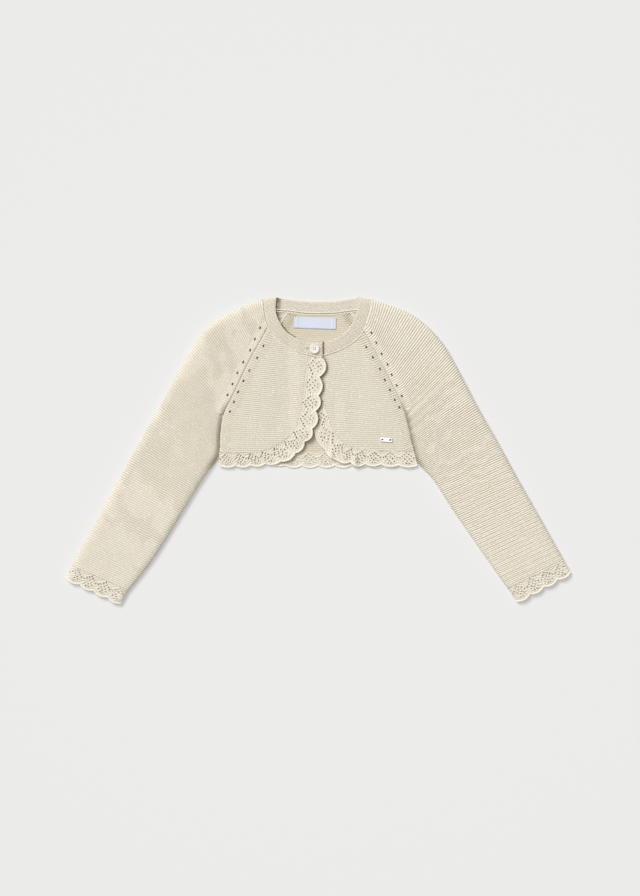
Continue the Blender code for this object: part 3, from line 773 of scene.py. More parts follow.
# Back and fronts. Three panels of the same ridged knit: the back lies face down on the
# floor, and the two fronts lie on it, the right one lapped over the left.
LAP_RISE = 2.9
LAP_OVER = (-42, -24)  # across these the right front rises to lie over the left one
COURSE_LEAN = 0.105  # slope of the courses of a front, rising to the centre
LEAN_FULL_AT = 60  # the level from which the courses have their full slope
UPRIGHT_AT = 67  # distance from the centre at which a leaning course keeps its level
PANEL_PITCH = 2.62
PANEL_RISE = 0.74  # the fronts and the back lie more stretched than the sleeves
PANEL_SHADE = 0.3
LAP_SHADE = 0.68  # depth of shade on the cloth that lies just beneath a lapped edge
LAPPED_SCALLOPS = 7
SCALLOP_FINE = 34
PANEL_CREAM = (0.838, 0.80, 0.685)
panel_knit = knit_material("panel_knit", PANEL_CREAM, 0.5, 0.6, STITCH, PANEL_PITCH / 2, 0.35)
LACE = 1.6
LACE_COLUMNS = ("notch_x", "notch_y", "sewn_x", "sewn_y", "bulge")
FRONT_LACES = {
    "right": (
        (4, 121.3, -14, 124.6, 0),
        (0, 96, -19, 100, 7),
        (-1, 72, -21.5, 74, 5),
        (-5, 52, -25, 53, 5),
        (-9, 29, -31, 32, 5.5),
        (-19, 12, -41, 18, 5),
        (-31, -3, -54, 8.5, 4),
        (-50, -14, -68, 2.5, 4),
        (-70, -17, -84, -1, 3),
        (-89, -19, -98, -2.5, 3),
        (-109, -19.5, -114, -2.5, 3),
        (-130.5, -19.5, -130.5, -2.5, 3),
    ),
    "left": (
        (-17.5, 123.4, 1, 123.4, 0),
        (-14, 96, 4, 100, 4),
        (-13, 72, 6, 74, 4),
        (-11, 51, 8.5, 55, 4),
        (-7.5, 28, 14, 36, 4),
        (7, 1, 28, 14, 3.5),
        (23, -13, 37, 7, 3),
        (40, -14.5, 49, 3, 3),
        (59, -17.5, 63, 1, 5),
        (80, -18, 81, -0.5, 3),
        (103, -19, 103, -0.5, 3),
        (127.5, -19.5, 123, -0.5, 3),
    ),
}
BACK_LACE = {"right": -130.5, "left": 123.0, "flare": 4.5, "sewn": -2.0, "notch": -19.5}
FRONT_EYELETS = {
    "right": (
        *((-72.8, 136.5), (-81, 121), (-91, 104.5), (-98.8, 91)),
        *((-106, 76.7), (-111, 63.7), (-116.4, 51.3)),
    ),
    "left": (
        *((61, 135), (69.5, 121.5), (78.7, 106.6), (85, 92.3)),
        *((91.6, 79.3), (98, 66.3), (104, 56.5)),
    ),
}
# Under each hole of the plaque the left front has a well whose floor is in painted shade.
PLAQUE_SEWN = ((81.6, 14.9), (92.4, 14.3))  # where its stitches draw the left front in
FRONT_FOLDS = {
    "right": (
        (-112, 34, -96, 6, 8, 0.7),
        (-62, 112, -92, 62, 12, 0.35),
        (-46, 60, -60, 26, 9, -0.35),
    ),
    "left": (
        (20, 64, 17, 26, 5, -0.6),
        (34, 70, 33, 30, 6, 0.5),
        (12, 6, 10, -10, 5, 0.5),
        (48, 2, 96, 0, 6, -0.5),
        (70, 100, 96, 60, 11, 0.35),
    ),
}
# Waves of the left front where its edge turns along the hem: the middle, spread and rise
# of each, and the depths below the level of the hem between which it grows.
LEFT_WAVES = ((15, 3.5, 2.2, -6, 8), (46, 4, 2.6, -2, 10))
BACK_EYELETS = (
    *((-38.5, 178), (-47.5, 166.5), (-56, 152), (-66, 137)),
    *((-76, 121), (-86, 105), (-96, 90), (-106, 73)),
)
CORNER_CLEAR = 6  # how far above its corner at the side the edge of a panel leaves the seam
SEAM_STRIP = 0.16  # share of a front, beside its raglan seam, that has closer points


def moved_left(line, distance):
    """A line of plan points moved to its left, at right angles to itself."""
    along = np.gradient(line, axis=0)
    along /= np.linalg.norm(along, axis=1)[:, None]
    return line + distance * np.stack([-along[:, 1], along[:, 0]], axis=1)


def under_side(side, x, y):
    """Height of the underside of one front: the lap of the right, the waves of the left."""
    if side == "right":
        return front_bed(x, y) + LAP_RISE * ramp(x, *LAP_OVER) * ramp(y, 3, 20)
    low = front_bed(x, y)
    for middle, spread, rise, *depths in LEFT_WAVES:
        low = low + rise * bell(x, middle, spread) * ramp(-y, *depths)
    return low


def raglan_line(side, half):
    """The seam of a sleeve with the body, as plan points from the neck to the cuff."""
    return sleeve_rows(side, half, np.linspace(0, 1, 241))[1]


def lean_at(level, x, lean):
    """How much higher a leaning course lies there than where the courses don't lean."""
    return lean * ramp(level, 0, LEAN_FULL_AT) * (UPRIGHT_AT - np.abs(x))


def row_level(line, lean):
    """Which row of a leaning front passes through each plan point."""
    level = line[:, 1].copy()
    for _ in range(30):
        level = line[:, 1] - lean_at(level, line[:, 0], lean)
    return level


def between_edges(sides, levels, lean, shares):
    """Plan points of rows that run from one edge of a panel to the other at each level."""
    ends = []
    for line in sides:
        at = row_level(line, lean)
        order = np.argsort(at)
        ends.append(np.interp(levels, at[order], line[order, 0]))
    x = ends[0][:, None] + (ends[1] - ends[0])[:, None] * shares
    y = levels[:, None] + lean_at(levels[:, None], x, lean)
    return np.stack([x, y], axis=2)


def front_plan(side, pitch, shares):
    """Plan points of one front, in rows that follow its courses, and each row's level."""
    lace = columns(FRONT_LACES[side], LACE_COLUMNS, "sewn_x", "sewn_y")
    edging = smooth_line(lace, 161)
    seam = raglan_line(side, "over")
    seam = np.vstack([seam[seam[:, 1] > lace[-1, 1] + CORNER_CLEAR], lace[-1:]])
    collar = smooth_line(sewn_edge(side), 61, RAGLAN_SECTION)
    inward = SEAM_SHOWN / 2 if side == "right" else -SEAM_SHOWN / 2
    clear = (lace[0, 0] - collar[:, 0]) * np.sign(inward) > 1
    centre = moved_left(np.vstack([collar[clear], edging]), -inward)
    seam = moved_left(seam, inward)
    top = row_level(collar[:1], COURSE_LEAN)[0] - 0.6
    bottom = edging[:, 1].min() + SEAM_SHOWN / 2
    levels = np.linspace(top, bottom, round((top - bottom) / pitch) + 1)
    return between_edges((seam, centre), levels, COURSE_LEAN, shares), levels, seam


def free_edge(table):
    """The scalloped edge of a lace, from its table of notches, sewn points and bulges."""
    notch, sewn, bulge = table[:, :2], table[:, 2:4], table[:, 4]
    t = np.linspace(0, 1, SCALLOP_FINE + 1)[1:, None]
    edge = [notch[:1]]
    for k in range(1, len(notch)):
        chord = notch[k] - notch[k - 1]
        out = np.array([chord[1], -chord[0]]) / np.linalg.norm(chord)
        out *= np.sign(out @ (notch[k] - sewn[k]))
        edge.append(notch[k - 1] + chord * t + out * bulge[k] * np.abs(np.sin(np.pi * t)) ** 0.8)
    return np.vstack(edge)


def beneath_laps(plan, sides):
    """Depth of shade on cloth just beneath the free edges of the front laces named."""
    shade = np.zeros(plan.shape[:2])
    for side in sides:
        edge = free_edge(columns(FRONT_LACES[side], LACE_COLUMNS, *LACE_COLUMNS))
        lapped = edge[: LAPPED_SCALLOPS * SCALLOP_FINE]
        shade = np.maximum(shade, LAP_SHADE * bell(distance_to(lapped, plan), 0, 2.9))
    return shade * (0.55 + 0.45 * ramp(plan[..., 1], 5, 40))


def make_front(side):
    """One front: ridged courses that rise a little to the centre, and a plain raglan band."""
    near_seam, beyond = np.linspace(0, SEAM_STRIP, 24), np.linspace(SEAM_STRIP, 0.985, 80)
    shares = np.concatenate([near_seam, beyond[1:], [0.993, 1.0]])
    plan, levels, seam = front_plan(side, PANEL_PITCH / ROWS_A_RIDGE, shares)
    away = distance_to(seam, plan)
    course = levels[:, None] / PANEL_PITCH + bent(away, 0.21)
    rise, pit = ridges(course, away, plan, PANEL_RISE, PANEL_SHADE)
    rise += 0.09 * ripple(plan, 29, 5) * ramp(away, 8, 14)
    if side == "left":
        pit = np.clip(pit + beneath_laps(plan, ("right",)), 0, 1)
    low = under_side(side, plan[..., 0], plan[..., 1])
    lying = soft_folds(FRONT_FOLDS[side], plan) + 0.25 * ripple(plan, 5, 55)
    window = ramp(shares, 0, 0.12) * ramp(1 - shares, 0, 0.12)
    turned_down = 0.4 * bell(away, 0, 1.6) * ramp(-plan[..., 1], -58, -38)
    face = np.dstack([plan, low + KNIT - 0.25 + rise * 0.9 + lying * window - turned_down])
    coarse, coarse_levels, _ = front_plan(side, 2.6, np.linspace(0, 1, 26))
    back = np.dstack([coarse, under_side(side, coarse[..., 0], coarse[..., 1]) + 0.1])
    uvs = []
    for grid, at in ((face, levels), (back, coarse_levels)):
        uvs.append(np.dstack([run_across(grid), spread_over(at, grid)]))
    holes = eyelet_holes(FRONT_EYELETS[side], 0)
    if side == "left":
        # Painted shade: a shallow well under each hole of the plaque, its floor dark.
        holes += [(x, y, 1.35, 1.35, 0.0, 0) for x, y in PLAQUE_SEWN]
    finishes = (panel_knit, ridged_inside)
    deep = EYELET_DEEP["front"]
    piece = cloth(f"front_{side}_knit", face, back, uvs, (pit, 0), finishes, holes, sunk=deep)
    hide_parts(f"front_{side}")


def back_plan(pitch, shares):
    """Plan points of the back, in rows from the neckband to the hem, and each row's level."""
    edges = []
    for side, inward in (("right", SEAM_SHOWN / 2), ("left", -SEAM_SHOWN / 2)):
        seam = raglan_line(side, "under")
        seam = seam[seam[:, 1] > BACK_LACE["sewn"] + CORNER_CLEAR]
        corner = [[BACK_LACE[side], BACK_LACE["sewn"]]]
        edges.append(moved_left(np.vstack([seam, corner]), inward))
    top = edges[0][:, 1].max() - SEAM_SHOWN / 2
    bottom = BACK_LACE["sewn"] + SEAM_SHOWN / 2
    levels = np.linspace(top, bottom, round((top - bottom) / pitch) + 1)
    plan = between_edges(edges, levels, 0.0, shares)
    band = smooth_line(sewn_edge("back"), 201)
    dip = np.interp(plan[..., 0], band[:, 0], band[:, 1]) - SEAM_SHOWN / 2 - top
    plan[..., 1] += np.clip(dip, -9, 0) * np.clip(1 - (top - plan[..., 1]) / 50, 0, 1)
    return plan, levels, edges


def make_back():
    """The back: its inside shows in the neck, and its ridged outside lies on the floor."""
    even = np.linspace(0, 1, 118)
    shares = (1 - np.cos(even * math.pi)) / 2 * 0.35 + even * 0.65
    plan, levels, edges = back_plan(PANEL_PITCH / ROWS_A_RIDGE, shares)
    away = np.minimum(distance_to(edges[0], plan), distance_to(edges[1], plan))
    course = levels[:, None] / PANEL_PITCH + bent(away, 0.3)
    rise, pit = ridges(course, away, plan, PANEL_RISE, PANEL_SHADE)
    combed = bell(away, 8, 6)
    # Painted shade on the inside: deeper in the comb beside the seams, beside the standing neckband and
    # beneath the lapped lace edge.
    inside = pit * (0.3 + 1.3 * combed) + neck_shade(plan) + beneath_laps(plan, ("right",))
    face = np.dstack([plan, KNIT - 0.35 + rise * (0.25 + 0.9 * combed)])
    reverse = np.dstack([plan, np.maximum(PANEL_RISE - rise, 0.0)])
    across = np.dstack([run_across(face), spread_over(levels, face)])
    left = [(-x, y) for x, y in BACK_EYELETS]
    holes = eyelet_holes(BACK_EYELETS, 0) + eyelet_holes(left, 0)
    finishes = (ridged_inside, panel_knit)
    pits = (np.clip(inside, 0, 1), pit)
    piece = cloth("back_panel_knit", face, reverse, (across, across), pits, finishes, holes)
    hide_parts("back_panel")


make_back()
make_front("left")
make_front("right")


# Neckband. One strip of fine plain knit, doubled, linked on round the neck, and folded
# at the shoulders here. Its fronts lap at the centre, and its back lies face down.
BAND = 2.6
FRONT_BAND_TOP = 5.8
BAND_EDGE_DROP = 0.8
BAND_WIDE = 17.5
NECK_LIFT = {"right": 2.4, "left": 1.0, "back": 0.0}  # how far the edge at the neck stands up
LAP_END = 4.9  # where the end of the right neckband shades the left one
BUTTONHOLE = {"y": 133.3, "from_x": -18.0, "to_x": -6.5}
BAND_FINE = 190  # divisions of a neckband between its folds
COURSE = {"pitch": 2.2, "rise": 0.3, "shade": 0.18}
GRAIN = {"rise": 0.14, "shade": 0.19}
band_knit = knit_material("band_knit", (0.85, 0.80, 0.68), 0.4, 1.0, 1.5, 1.7, 0.5)


def band_skin(name, depth, middle, shares):
    """One skin of a neckband, as a grid of points along it and across it."""
    sections = columns(NECKBANDS[name], BAND_COLUMNS, *BAND_COLUMNS)
    knots = lengths_along((sections[:, :2] + sections[:, 2:]) / 2)
    half = "under" if name == "back" else "over"
    folded = np.array([[1.0 if name == "back" else 0.0]])
    top = np.array([[FRONT_BAND_TOP]])
    along, z = tube_half(half, knots[-1:, None], top, folded, top, depth, middle, FOLD_TURNS, FOLD_TURNS)
    read = through(knots, sections, along[0])
    reach = read[:, 2:] - read[:, :2]
    reach *= 1 - SEAM_SHOWN / 2 / np.linalg.norm(reach, axis=1)[:, None]
    plan = read[:, None, :2] + reach[:, None] * shares[:, None]
    z = z[0][:, None] + 0 * shares
    if name == "right":
        z = z + LAP_RISE * ramp(plan[..., 0], *LAP_OVER)
    level = ramp(along[0], 0, FOLD_ROUND)[:, None]
    standing = ramp(along[0], 2, 30) * (1 - ramp(along[0], 55, 90))
    z = z + NECK_LIFT[name] * standing[:, None] * np.clip(1 - shares, 0, 1) ** 1.6
    upper = (half == "over") == (depth == 0)
    rolled = BAND_EDGE_DROP * level * np.abs(2 * shares - 1) ** 5
    z = z - rolled * 1.3 if upper else z + rolled * 0.5
    return np.dstack([plan, z]), along[0]


def make_band(name):
    """A third of the neckband, with faint courses that run along it."""
    even = np.linspace(0, 1, 31)
    shares = (1 - np.cos(even * math.pi)) / 2 * 0.3 + even * 0.7
    upper, lower = (BAND, 0.0) if name == "back" else (0.0, BAND)
    face, along = band_skin(name, upper, BAND_FINE, shares)
    reverse, _ = band_skin(name, lower, BAND_FINE, shares)
    course = 0.5 + 0.5 * np.cos(2 * math.pi * shares * BAND_WIDE / COURSE["pitch"])
    grain = ripple(face[..., :2], 41, 3)
    relief = COURSE["rise"] * (course - 0.5) + GRAIN["rise"] * grain
    face[..., 2] += relief * ramp(along, 0, 8)[:, None]
    pit = COURSE["shade"] * (1 - course)[None] - GRAIN["shade"] * grain
    x, y = face[..., 0], face[..., 1]
    if name == "back":
        pit = pit + neck_shade(face[..., :2])
    elif name == "left":
        pit = pit + 0.8 * bell(x, LAP_END, 1.6)
    else:
        # Painted shade in the buttonhole slit, which is also sunk a little.
        slit = bell(y, BUTTONHOLE["y"], 0.9) * ramp(x - BUTTONHOLE["from_x"], 0, 1.6)
        slit *= ramp(BUTTONHOLE["to_x"] - x, 0, 1.6)
        pit = pit + 0.7 * slit
        face[..., 2] -= 0.4 * slit + 0.7 * (1 - ramp(along[-1] - along, 0, 1.2))[:, None]
    pit = np.clip(pit, 0, 1)
    uv = np.dstack([spread_over(along, face), shares * BAND_WIDE + 0 * face[..., 0]])
    piece = cloth(f"neckband_{name}_knit", face, reverse, (uv, uv), (pit, 0.1), (band_knit,))
    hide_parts(f"neckband_{name}")


make_band("back")
make_band("left")
make_band("right")


# Lace edgings. Strips of open knit with a rolled, scalloped rim, sewn round the fronts,
# along the hem of the back and round the cuffs. Each scallop has a chevron of eyelets.
RIM_RISE = 0.6
RIM_WIDTH = 1.6
LACE_DEEP = 34
EYELET_WIDE = 0.66
LACE_CURL = {"right": 2.1, "left": 0.5}  # how far the free edges of the front laces lift
lace_knit = knit_material("lace_knit", (0.95, 0.91, 0.80), 0.5, 0.6, 1.9, 1.6, 0.5)
LATTICE_PITCH = 3.4
REVERSE_SHADE = 0.15
# The eyelets of a scallop: share along it, share from the sewn edge, lean, half length
MOTIF = (
    (0.50, 0.10, 0, 0.8),
    (0.37, 0.20, -52, 0.95),
    (0.63, 0.20, 52, 0.95),
    (0.24, 0.31, -52, 0.95),
    (0.76, 0.31, 52, 0.95),
    (0.10, 0.43, -52, 0.9),
    (0.90, 0.43, 52, 0.9),
    (0.50, 0.34, 0, 0.7),
    (0.36, 0.47, -25, 0.8),
    (0.64, 0.47, 25, 0.8),
    (0.25, 0.62, -25, 0.7),
    (0.75, 0.62, 25, 0.7),
    (0.50, 0.58, 0, 0.8),
    (0.42, 0.73, 0, 0.8),
    (0.58, 0.73, 0, 0.8),
)


def lace_plan(table):
    """Plan points of a lace edging along and across it, with each one's share across."""
    sewn = table[:, 2:4]
    knots = lengths_along(sewn)
    steps = np.arange((len(sewn) - 1) * SCALLOP_FINE + 1) / SCALLOP_FINE
    inner = through(knots, sewn, np.interp(steps, np.arange(len(sewn)), knots))
    reach = free_edge(table) - inner
    width = np.linalg.norm(reach, axis=1)[:, None]
    shares = np.linspace(0, 1, LACE_DEEP + 1)
    places = SEAM_SHOWN / 2 + (width - SEAM_SHOWN / 2) * shares
    plan = inner[:, None] + reach[:, None] * (places / width)[..., None]
    return plan, shares, width


def motif_holes(plan, scallops, part):
    """The eyelets of a lace edging, whose grid has the same steps to each scallop."""
    deep = plan.shape[1] - 1
    rng = np.random.default_rng(scallops + part)
    holes = []
    for k in range(scallops):
        for u, v, lean, half in MOTIF:
            i, j = (k + u) * SCALLOP_FINE, v * deep
            a, b = int(i), int(j)
            along, across = plan[a + 1, b] - plan[a, b], plan[a, b + 1] - plan[a, b]
            spot = plan[a, b] + (i - a) * along + (j - b) * across
            along, across = along / np.linalg.norm(along), across / np.linalg.norm(across)
            turn = math.radians(lean + rng.uniform(-14, 14))
            axis = math.cos(turn) * across + math.sin(turn) * along
            spot = spot + rng.uniform(-0.35, 0.35, 2)
            sizes = np.array([EYELET_WIDE, half]) * rng.uniform(0.8, 1.15)
            holes.append((*spot, *sizes, math.atan2(axis[1], axis[0]) - math.pi / 2, part))
    return holes


def lace_relief(plan, shares, width, holes, along, scallop_share):
    """How far the lace stands out, and its shade: puffed stitches, ribs and a rolled rim."""
    beside = np.full(plan.shape[:2], 9.0)
    for x, y, *_ in holes:
        near = np.abs(plan - (x, y)).max(axis=2) < 6
        beside[near] = np.minimum(beside[near], np.linalg.norm(plan[near] - (x, y), axis=1))
    from_edge = width * (1 - shares)
    puffed = 0.4 * bell(beside, 1.9, 0.55)
    rising = 0.75 * along + from_edge + 0.8 * ripple(plan, 23, 9)
    falling = 0.75 * along - from_edge + 0.8 * ripple(plan, 31, 8)
    turns = 2 * math.pi / LATTICE_PITCH
    stitches = 0.6 * np.cos(rising * turns) + 0.4 * np.cos(falling * turns)
    arms = shares - 0.1 - 1.05 * np.abs(scallop_share - 0.5)
    ribs = 0.22 * bell(arms * width, 0, 0.9) + 0.18 * bell((arms - 0.27) * width, 0, 0.8)
    rim = RIM_RISE * bell(from_edge, RIM_WIDTH * 0.8, 0.85)
    strip = bell(from_edge, RIM_WIDTH * 2.1, 1.0)
    textured = (1 - 0.6 * strip) * ramp(from_edge, 1.8, 3.0)
    level = 0.5 * bell(width * shares, 0, 2.5)
    rise = puffed + 0.6 * stitches * textured + ribs + rim - 0.22 * strip + level
    rolled = 0.75 * (1 - np.sqrt(np.clip(1 - (1 - np.clip(from_edge / 0.9, 0, 1)) ** 2, 0, 1)))
    pit = 0.5 * (0.5 - 0.5 * stitches) ** 2 * textured - 0.2 * ribs - 0.25 * rim + 0.12 * strip
    return rise - rolled, rolled, np.clip(pit, 0, 1)


def make_lace(name, table, low_at, over=()):
    """A flat lace edging with a real opening for each of its eyelets."""
    plan, shares, width = lace_plan(table)
    holes = motif_holes(plan, len(table) - 1, 0)
    along = lengths_along(plan[:, LACE_DEEP // 2])[:, None]
    scallop_share = (np.arange(plan.shape[0]) / SCALLOP_FINE % 1)[:, None]
    rise, rolled, pit = lace_relief(plan, shares, width, holes, along, scallop_share)
    pit = np.clip(pit + beneath_laps(plan, over), 0, 1)
    low = low_at(plan)
    face = np.dstack([plan, low + LACE - 0.25 + rise])
    reverse = np.dstack([plan, low + rolled * 0.6])
    uv = np.dstack([along + 0 * low, width * shares])
    piece = cloth(f"{name}_knit", face, reverse, (uv, uv), (pit, REVERSE_SHADE), (lace_knit,), holes)
    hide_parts(name)


def lace_bed(side, plan):
    """Height of the underside of a front lace, whose free edge lifts where it laps."""
    lifted = np.linspace(0, 1, plan.shape[1]) ** 2 * ramp(-np.abs(plan[..., 0]), -62, -35)
    return under_side(side, plan[..., 0], plan[..., 1]) + LACE_CURL[side] * lifted


def floor_bed(plan):
    """Height of the floor, on which the lace of the back lies."""
    return 0 * plan[..., 0]


BACK_SCALLOPS = {"count": 12, "bulge": 3.2, "drawn_up": 6.0}
notches = BACK_SCALLOPS["count"] + 1
sewn_x = np.linspace(BACK_LACE["right"], BACK_LACE["left"], notches)
drawn_up = BACK_SCALLOPS["drawn_up"] * (1 - ramp(sewn_x, -75, -50))
back_table = np.column_stack(
    [
        np.linspace(BACK_LACE["right"], BACK_LACE["left"] + BACK_LACE["flare"], notches),
        BACK_LACE["notch"] + drawn_up,
        sewn_x,
        np.full(notches, BACK_LACE["sewn"]),
        np.full(notches, BACK_SCALLOPS["bulge"]),
    ]
)
make_lace("lace_back", back_table, floor_bed, ("right",))
FRONT_LACE_RESTS = {
    "left": ["lace_back_knit"],
    "right": ["lace_front_left_knit", "lace_back_knit"],
}
for side, beneath in FRONT_LACE_RESTS.items():
    make_lace(
        f"lace_front_{side}",
        columns(FRONT_LACES[side], LACE_COLUMNS, *LACE_COLUMNS),
        lambda plan: lace_bed(side, plan),
        ("right",) if side == "left" else (),
    )

# The lace of a cuff is a ring, flattened with its sleeve
CUFFS = {
    "right": {"towards_x": -0.47, "towards_y": -0.88, "at_fold": 18.0, "at_seam": 20.5},
    "left": {"towards_x": 0.53, "towards_y": -0.85, "at_fold": 17.5, "at_seam": 21.5},
}
CUFF_SCALLOPS = {"count": 4, "bulge": 3.5, "height": 5.6}
CUFF_FINE = 118  # divisions of half a cuff between its folds


def cuff_half(side, half, depth):
    """One skin of half the lace of a cuff, its reach at each point, and shares across."""
    fold, seam, height, folded, _ = sleeve_rows(side, half, np.array([1.0]))
    width = np.linalg.norm(seam - fold, axis=1)[:, None]
    towards = np.array([CUFFS[side]["towards_x"], CUFFS[side]["towards_y"]])
    rows = []
    for share in np.linspace(0, 1, LACE_DEEP + 1):
        low = height + (CUFF_SCALLOPS["height"] - height) * share
        turns = (FOLD_TURNS, FOLD_TURNS)
        distance, z = tube_half(half, width, low, folded, low, depth, CUFF_FINE, *turns)
        across = distance[0] / width[0]
        swell = CUFF_SCALLOPS["bulge"] * np.abs(np.sin(np.pi * CUFF_SCALLOPS["count"] * across)) ** 0.8
        length = CUFFS[side]["at_fold"] + (CUFFS[side]["at_seam"] - CUFFS[side]["at_fold"]) * across
        out = SEAM_SHOWN / 2 + (length - SEAM_SHOWN / 2 + swell) * share
        plan = fold + (seam - fold) * across[:, None] + towards * out[:, None]
        rows.append(np.column_stack([plan, z[0]]))
    return np.stack(rows, axis=1), (length + swell)[:, None], across


def make_cuff(side):
    """The lace of one cuff, from the seam over the fold and back under to the seam."""
    count = CUFF_SCALLOPS["count"]
    skins, holes = [], []
    for depth in (0.0, LACE):
        over, over_reach, over_across = cuff_half(side, "over", depth)
        under, under_reach, under_across = cuff_half(side, "under", depth)
        skins.append(np.concatenate([over[::-1], under[1:]]))
        if depth == 0:
            reach = np.concatenate([over_reach[::-1], under_reach[1:]])
            turned = np.concatenate([over_across[::-1], under_across[1:]])
            even = np.linspace(0, 1, SCALLOP_FINE * count + 1)
            for part, grid, across in ((1, over, over_across), (0, under, under_across)):
                columns_read = [
                    [np.interp(even, across, grid[:, j, k]) for k in (0, 1)]
                    for j in range(LACE_DEEP + 1)
                ]
                holes += motif_holes(np.array(columns_read).transpose(2, 0, 1), count, part)
    skin = skins[0]
    part = (np.arange(len(skin)) < len(over)).astype(int)[:, None] + np.zeros(skin.shape[:2], int)
    normals = grid_normals(skin)
    normals *= np.sign(normals[40, 5, 2])
    along = lengths_along(skin[:, LACE_DEEP // 2])[:, None]
    shares = np.linspace(0, 1, LACE_DEEP + 1)
    scallop_share = (turned * count % 1)[:, None]
    rise, rolled, pit = lace_relief(skin[..., :2], shares, reach, holes, along, scallop_share)
    beneath = ramp(-normals[..., 2], 0.1, 0.9)
    face = skin + normals * (rise - 0.2 - beneath * 0.7)[..., None]
    face[..., 2] = np.maximum(face[..., 2], 0.02)
    reverse = skins[1] + normals * (-rolled * 0.4)[..., None]
    uv = np.dstack([along + 0 * rise, reach * shares])
    name = f"lace_cuff_{side}"
    piece = cloth(name, face, reverse, (uv, uv), (pit, REVERSE_SHADE), (lace_knit,), holes, part)
    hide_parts(f"lace_cuff_{side}_over", f"lace_cuff_{side}_under")


make_cuff("right")
make_cuff("left")


# Linking. Where the neckband joins the garment, a light chain stitch runs along the
# join; inside the back of the neck it shows as two lines. Each link is a short loop.
LINK_PITCH = 2.3
LINK_RISE = {"right": 1.6, "left": 1.9, "back": 0.9}
LINK_SIZE = (1.4, 0.7, 0.55)  # half length, half width, half height
thread = knit_material("chain_thread", (0.99, 0.96, 0.87), 0.2, 0.4, 0.6, 0.6, 0.5)


def stitches_along(name, line, pitch, size, finish):
    """One mesh of short smooth stitches, laid end to end along a line of points."""
    lengths = lengths_along(line)
    at = np.arange(pitch / 2, lengths[-1], pitch)
    places, ahead, behind = [
        np.stack([np.interp(at + step, lengths, line[:, k]) for k in range(3)], axis=1)
        for step in (0, 0.5, -0.5)
    ]
    along = ahead - behind
    turns = np.arctan2(along[:, 1], along[:, 0]) + np.radians(14) * (-1) ** np.arange(len(at))
    mesh_data = bmesh.new()
    for place, turn in zip(places, turns):
        made = bmesh.ops.create_uvsphere(mesh_data, u_segments=8, v_segments=5, radius=1.0)
        for vert in made["verts"]:
            x, y, z = vert.co.x * size[0], vert.co.y * size[1], vert.co.z * size[2]
            vert.co.x = (place[0] + x * math.cos(turn) - y * math.sin(turn)) * MM
            vert.co.y = (place[1] + x * math.sin(turn) + y * math.cos(turn)) * MM
            vert.co.z = (place[2] + z) * MM
    mesh = bpy.data.meshes.new(name)
    mesh_data.to_mesh(mesh)
    mesh_data.free()
    mesh.materials.append(finish)
    mesh.polygons.foreach_set("use_smooth", np.ones(len(mesh.polygons), bool))
    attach(placed(name, mesh), "root")


for name, shares in (("right", (1.03,)), ("left", (1.03,)), ("back", (1.03, 0.87))):
    for number, share in enumerate(shares, 1):
        depth = BAND if name == "back" else 0.0
        face, along = band_skin(name, depth, BAND_FINE, np.array([share - 0.02, share]))
        line = face[(along > 3) & (along < along[-1] - 0.5), 1]
        line = line + (0, 0, LINK_RISE[name])
        stitches_along(f"chain_{name}_{number}", line, LINK_PITCH, LINK_SIZE, thread)


# Back raglan seams. Each sleeve is linked to the back by machine, and inside the neck the
# join shows as a light line of linking beside the edge.
SEAM_SHOWS_FROM = 150  # how far up the seam comes into view in the neck
for side in ("right", "left"):
    seam = raglan_line(side, "under")
    seam = seam[seam[:, 1] > SEAM_SHOWS_FROM]
    line = np.column_stack([seam, np.full(len(seam), KNIT + 0.35)])
    stitches_along(f"seam_back_{side}", line, LINK_PITCH, LINK_SIZE, thread)


# Button. A flat pearl button with a raised rim and four holes, sewn on the lower band
# with two pairs of threads, and passed through a slit in the upper one.
BUTTON = {"x": -6.5, "y": 132.7, "bottom": 9.1, "thick": 2.4}
BUTTON |= {"diameter": 12.7, "hole": 1.6, "circle": 3.6}
BUTTON_RIM = 1.5

BUTTON_ROUND = 0.75
PEARL_HUES = ((0.80, 0.76, 0.70, 1), (0.93, 0.91, 0.88, 1))

pearl, nodes, links, shader = new_material("pearl_shell")
set_inputs(shader, {"Roughness": 0.28, "Coat Weight": 0.4, "Coat Roughness": 0.08})
place = added(nodes, "TexCoord")
layers = added(nodes, "TexNoise", {"Scale": 260, "Distortion": 1.5})
links.new(place.outputs["Object"], layers.inputs["Vector"])
hues = added(nodes, "ValToRGB")
for element, position, hue in zip(hues.color_ramp.elements, (0.35, 0.65), PEARL_HUES):
    element.position = position
    element.color = hue
links.new(layers.outputs["Fac"], hues.inputs["Fac"])
links.new(hues.outputs["Color"], shader.inputs["Base Color"])


def only_active(piece):
    """Makes a piece the only selected one, and the active one."""
    bpy.ops.object.select_all(action="DESELECT")
    piece.select_set(True)
    bpy.context.view_layer.objects.active = piece


def bevelled(piece, width, segments):
    """Rounds the sharp edges of a piece."""
    only_active(piece)
    rounding = piece.modifiers.new("rounding", "BEVEL")
    rounding.width = width * MM
    rounding.segments = segments
    rounding.limit_method = "ANGLE"
    rounding.angle_limit = math.radians(35)
    bpy.ops.object.modifier_apply(modifier="rounding")


def drilled(piece, places, diameter, z):
    """Drills round holes down through a piece."""
    for x, y in places:
        bpy.ops.object.select_all(action="DESELECT")
        bpy.ops.mesh.primitive_cylinder_add(
            vertices=20, radius=diameter / 2 * MM, depth=12 * MM, location=(x * MM, y * MM, z * MM)
        )
        drill = bpy.context.object
        only_active(piece)
        hole = piece.modifiers.new("hole", "BOOLEAN")
        hole.operation = "DIFFERENCE"
        hole.solver = "EXACT"
        hole.object = drill
        bpy.ops.object.modifier_apply(modifier="hole")
        bpy.data.objects.remove(drill, do_unlink=True)


def select_upward(piece):
    """In edit mode, selects only the flat face on top of a piece."""
    mesh_data = bmesh.from_edit_mesh(piece.data)
    top = max(vert.co.z for vert in mesh_data.verts)
    for face in mesh_data.faces:
        face.select_set(face.normal.z > 0.99 and face.calc_center_median().z > top - 0.01 * MM)
    bmesh.update_edit_mesh(piece.data)


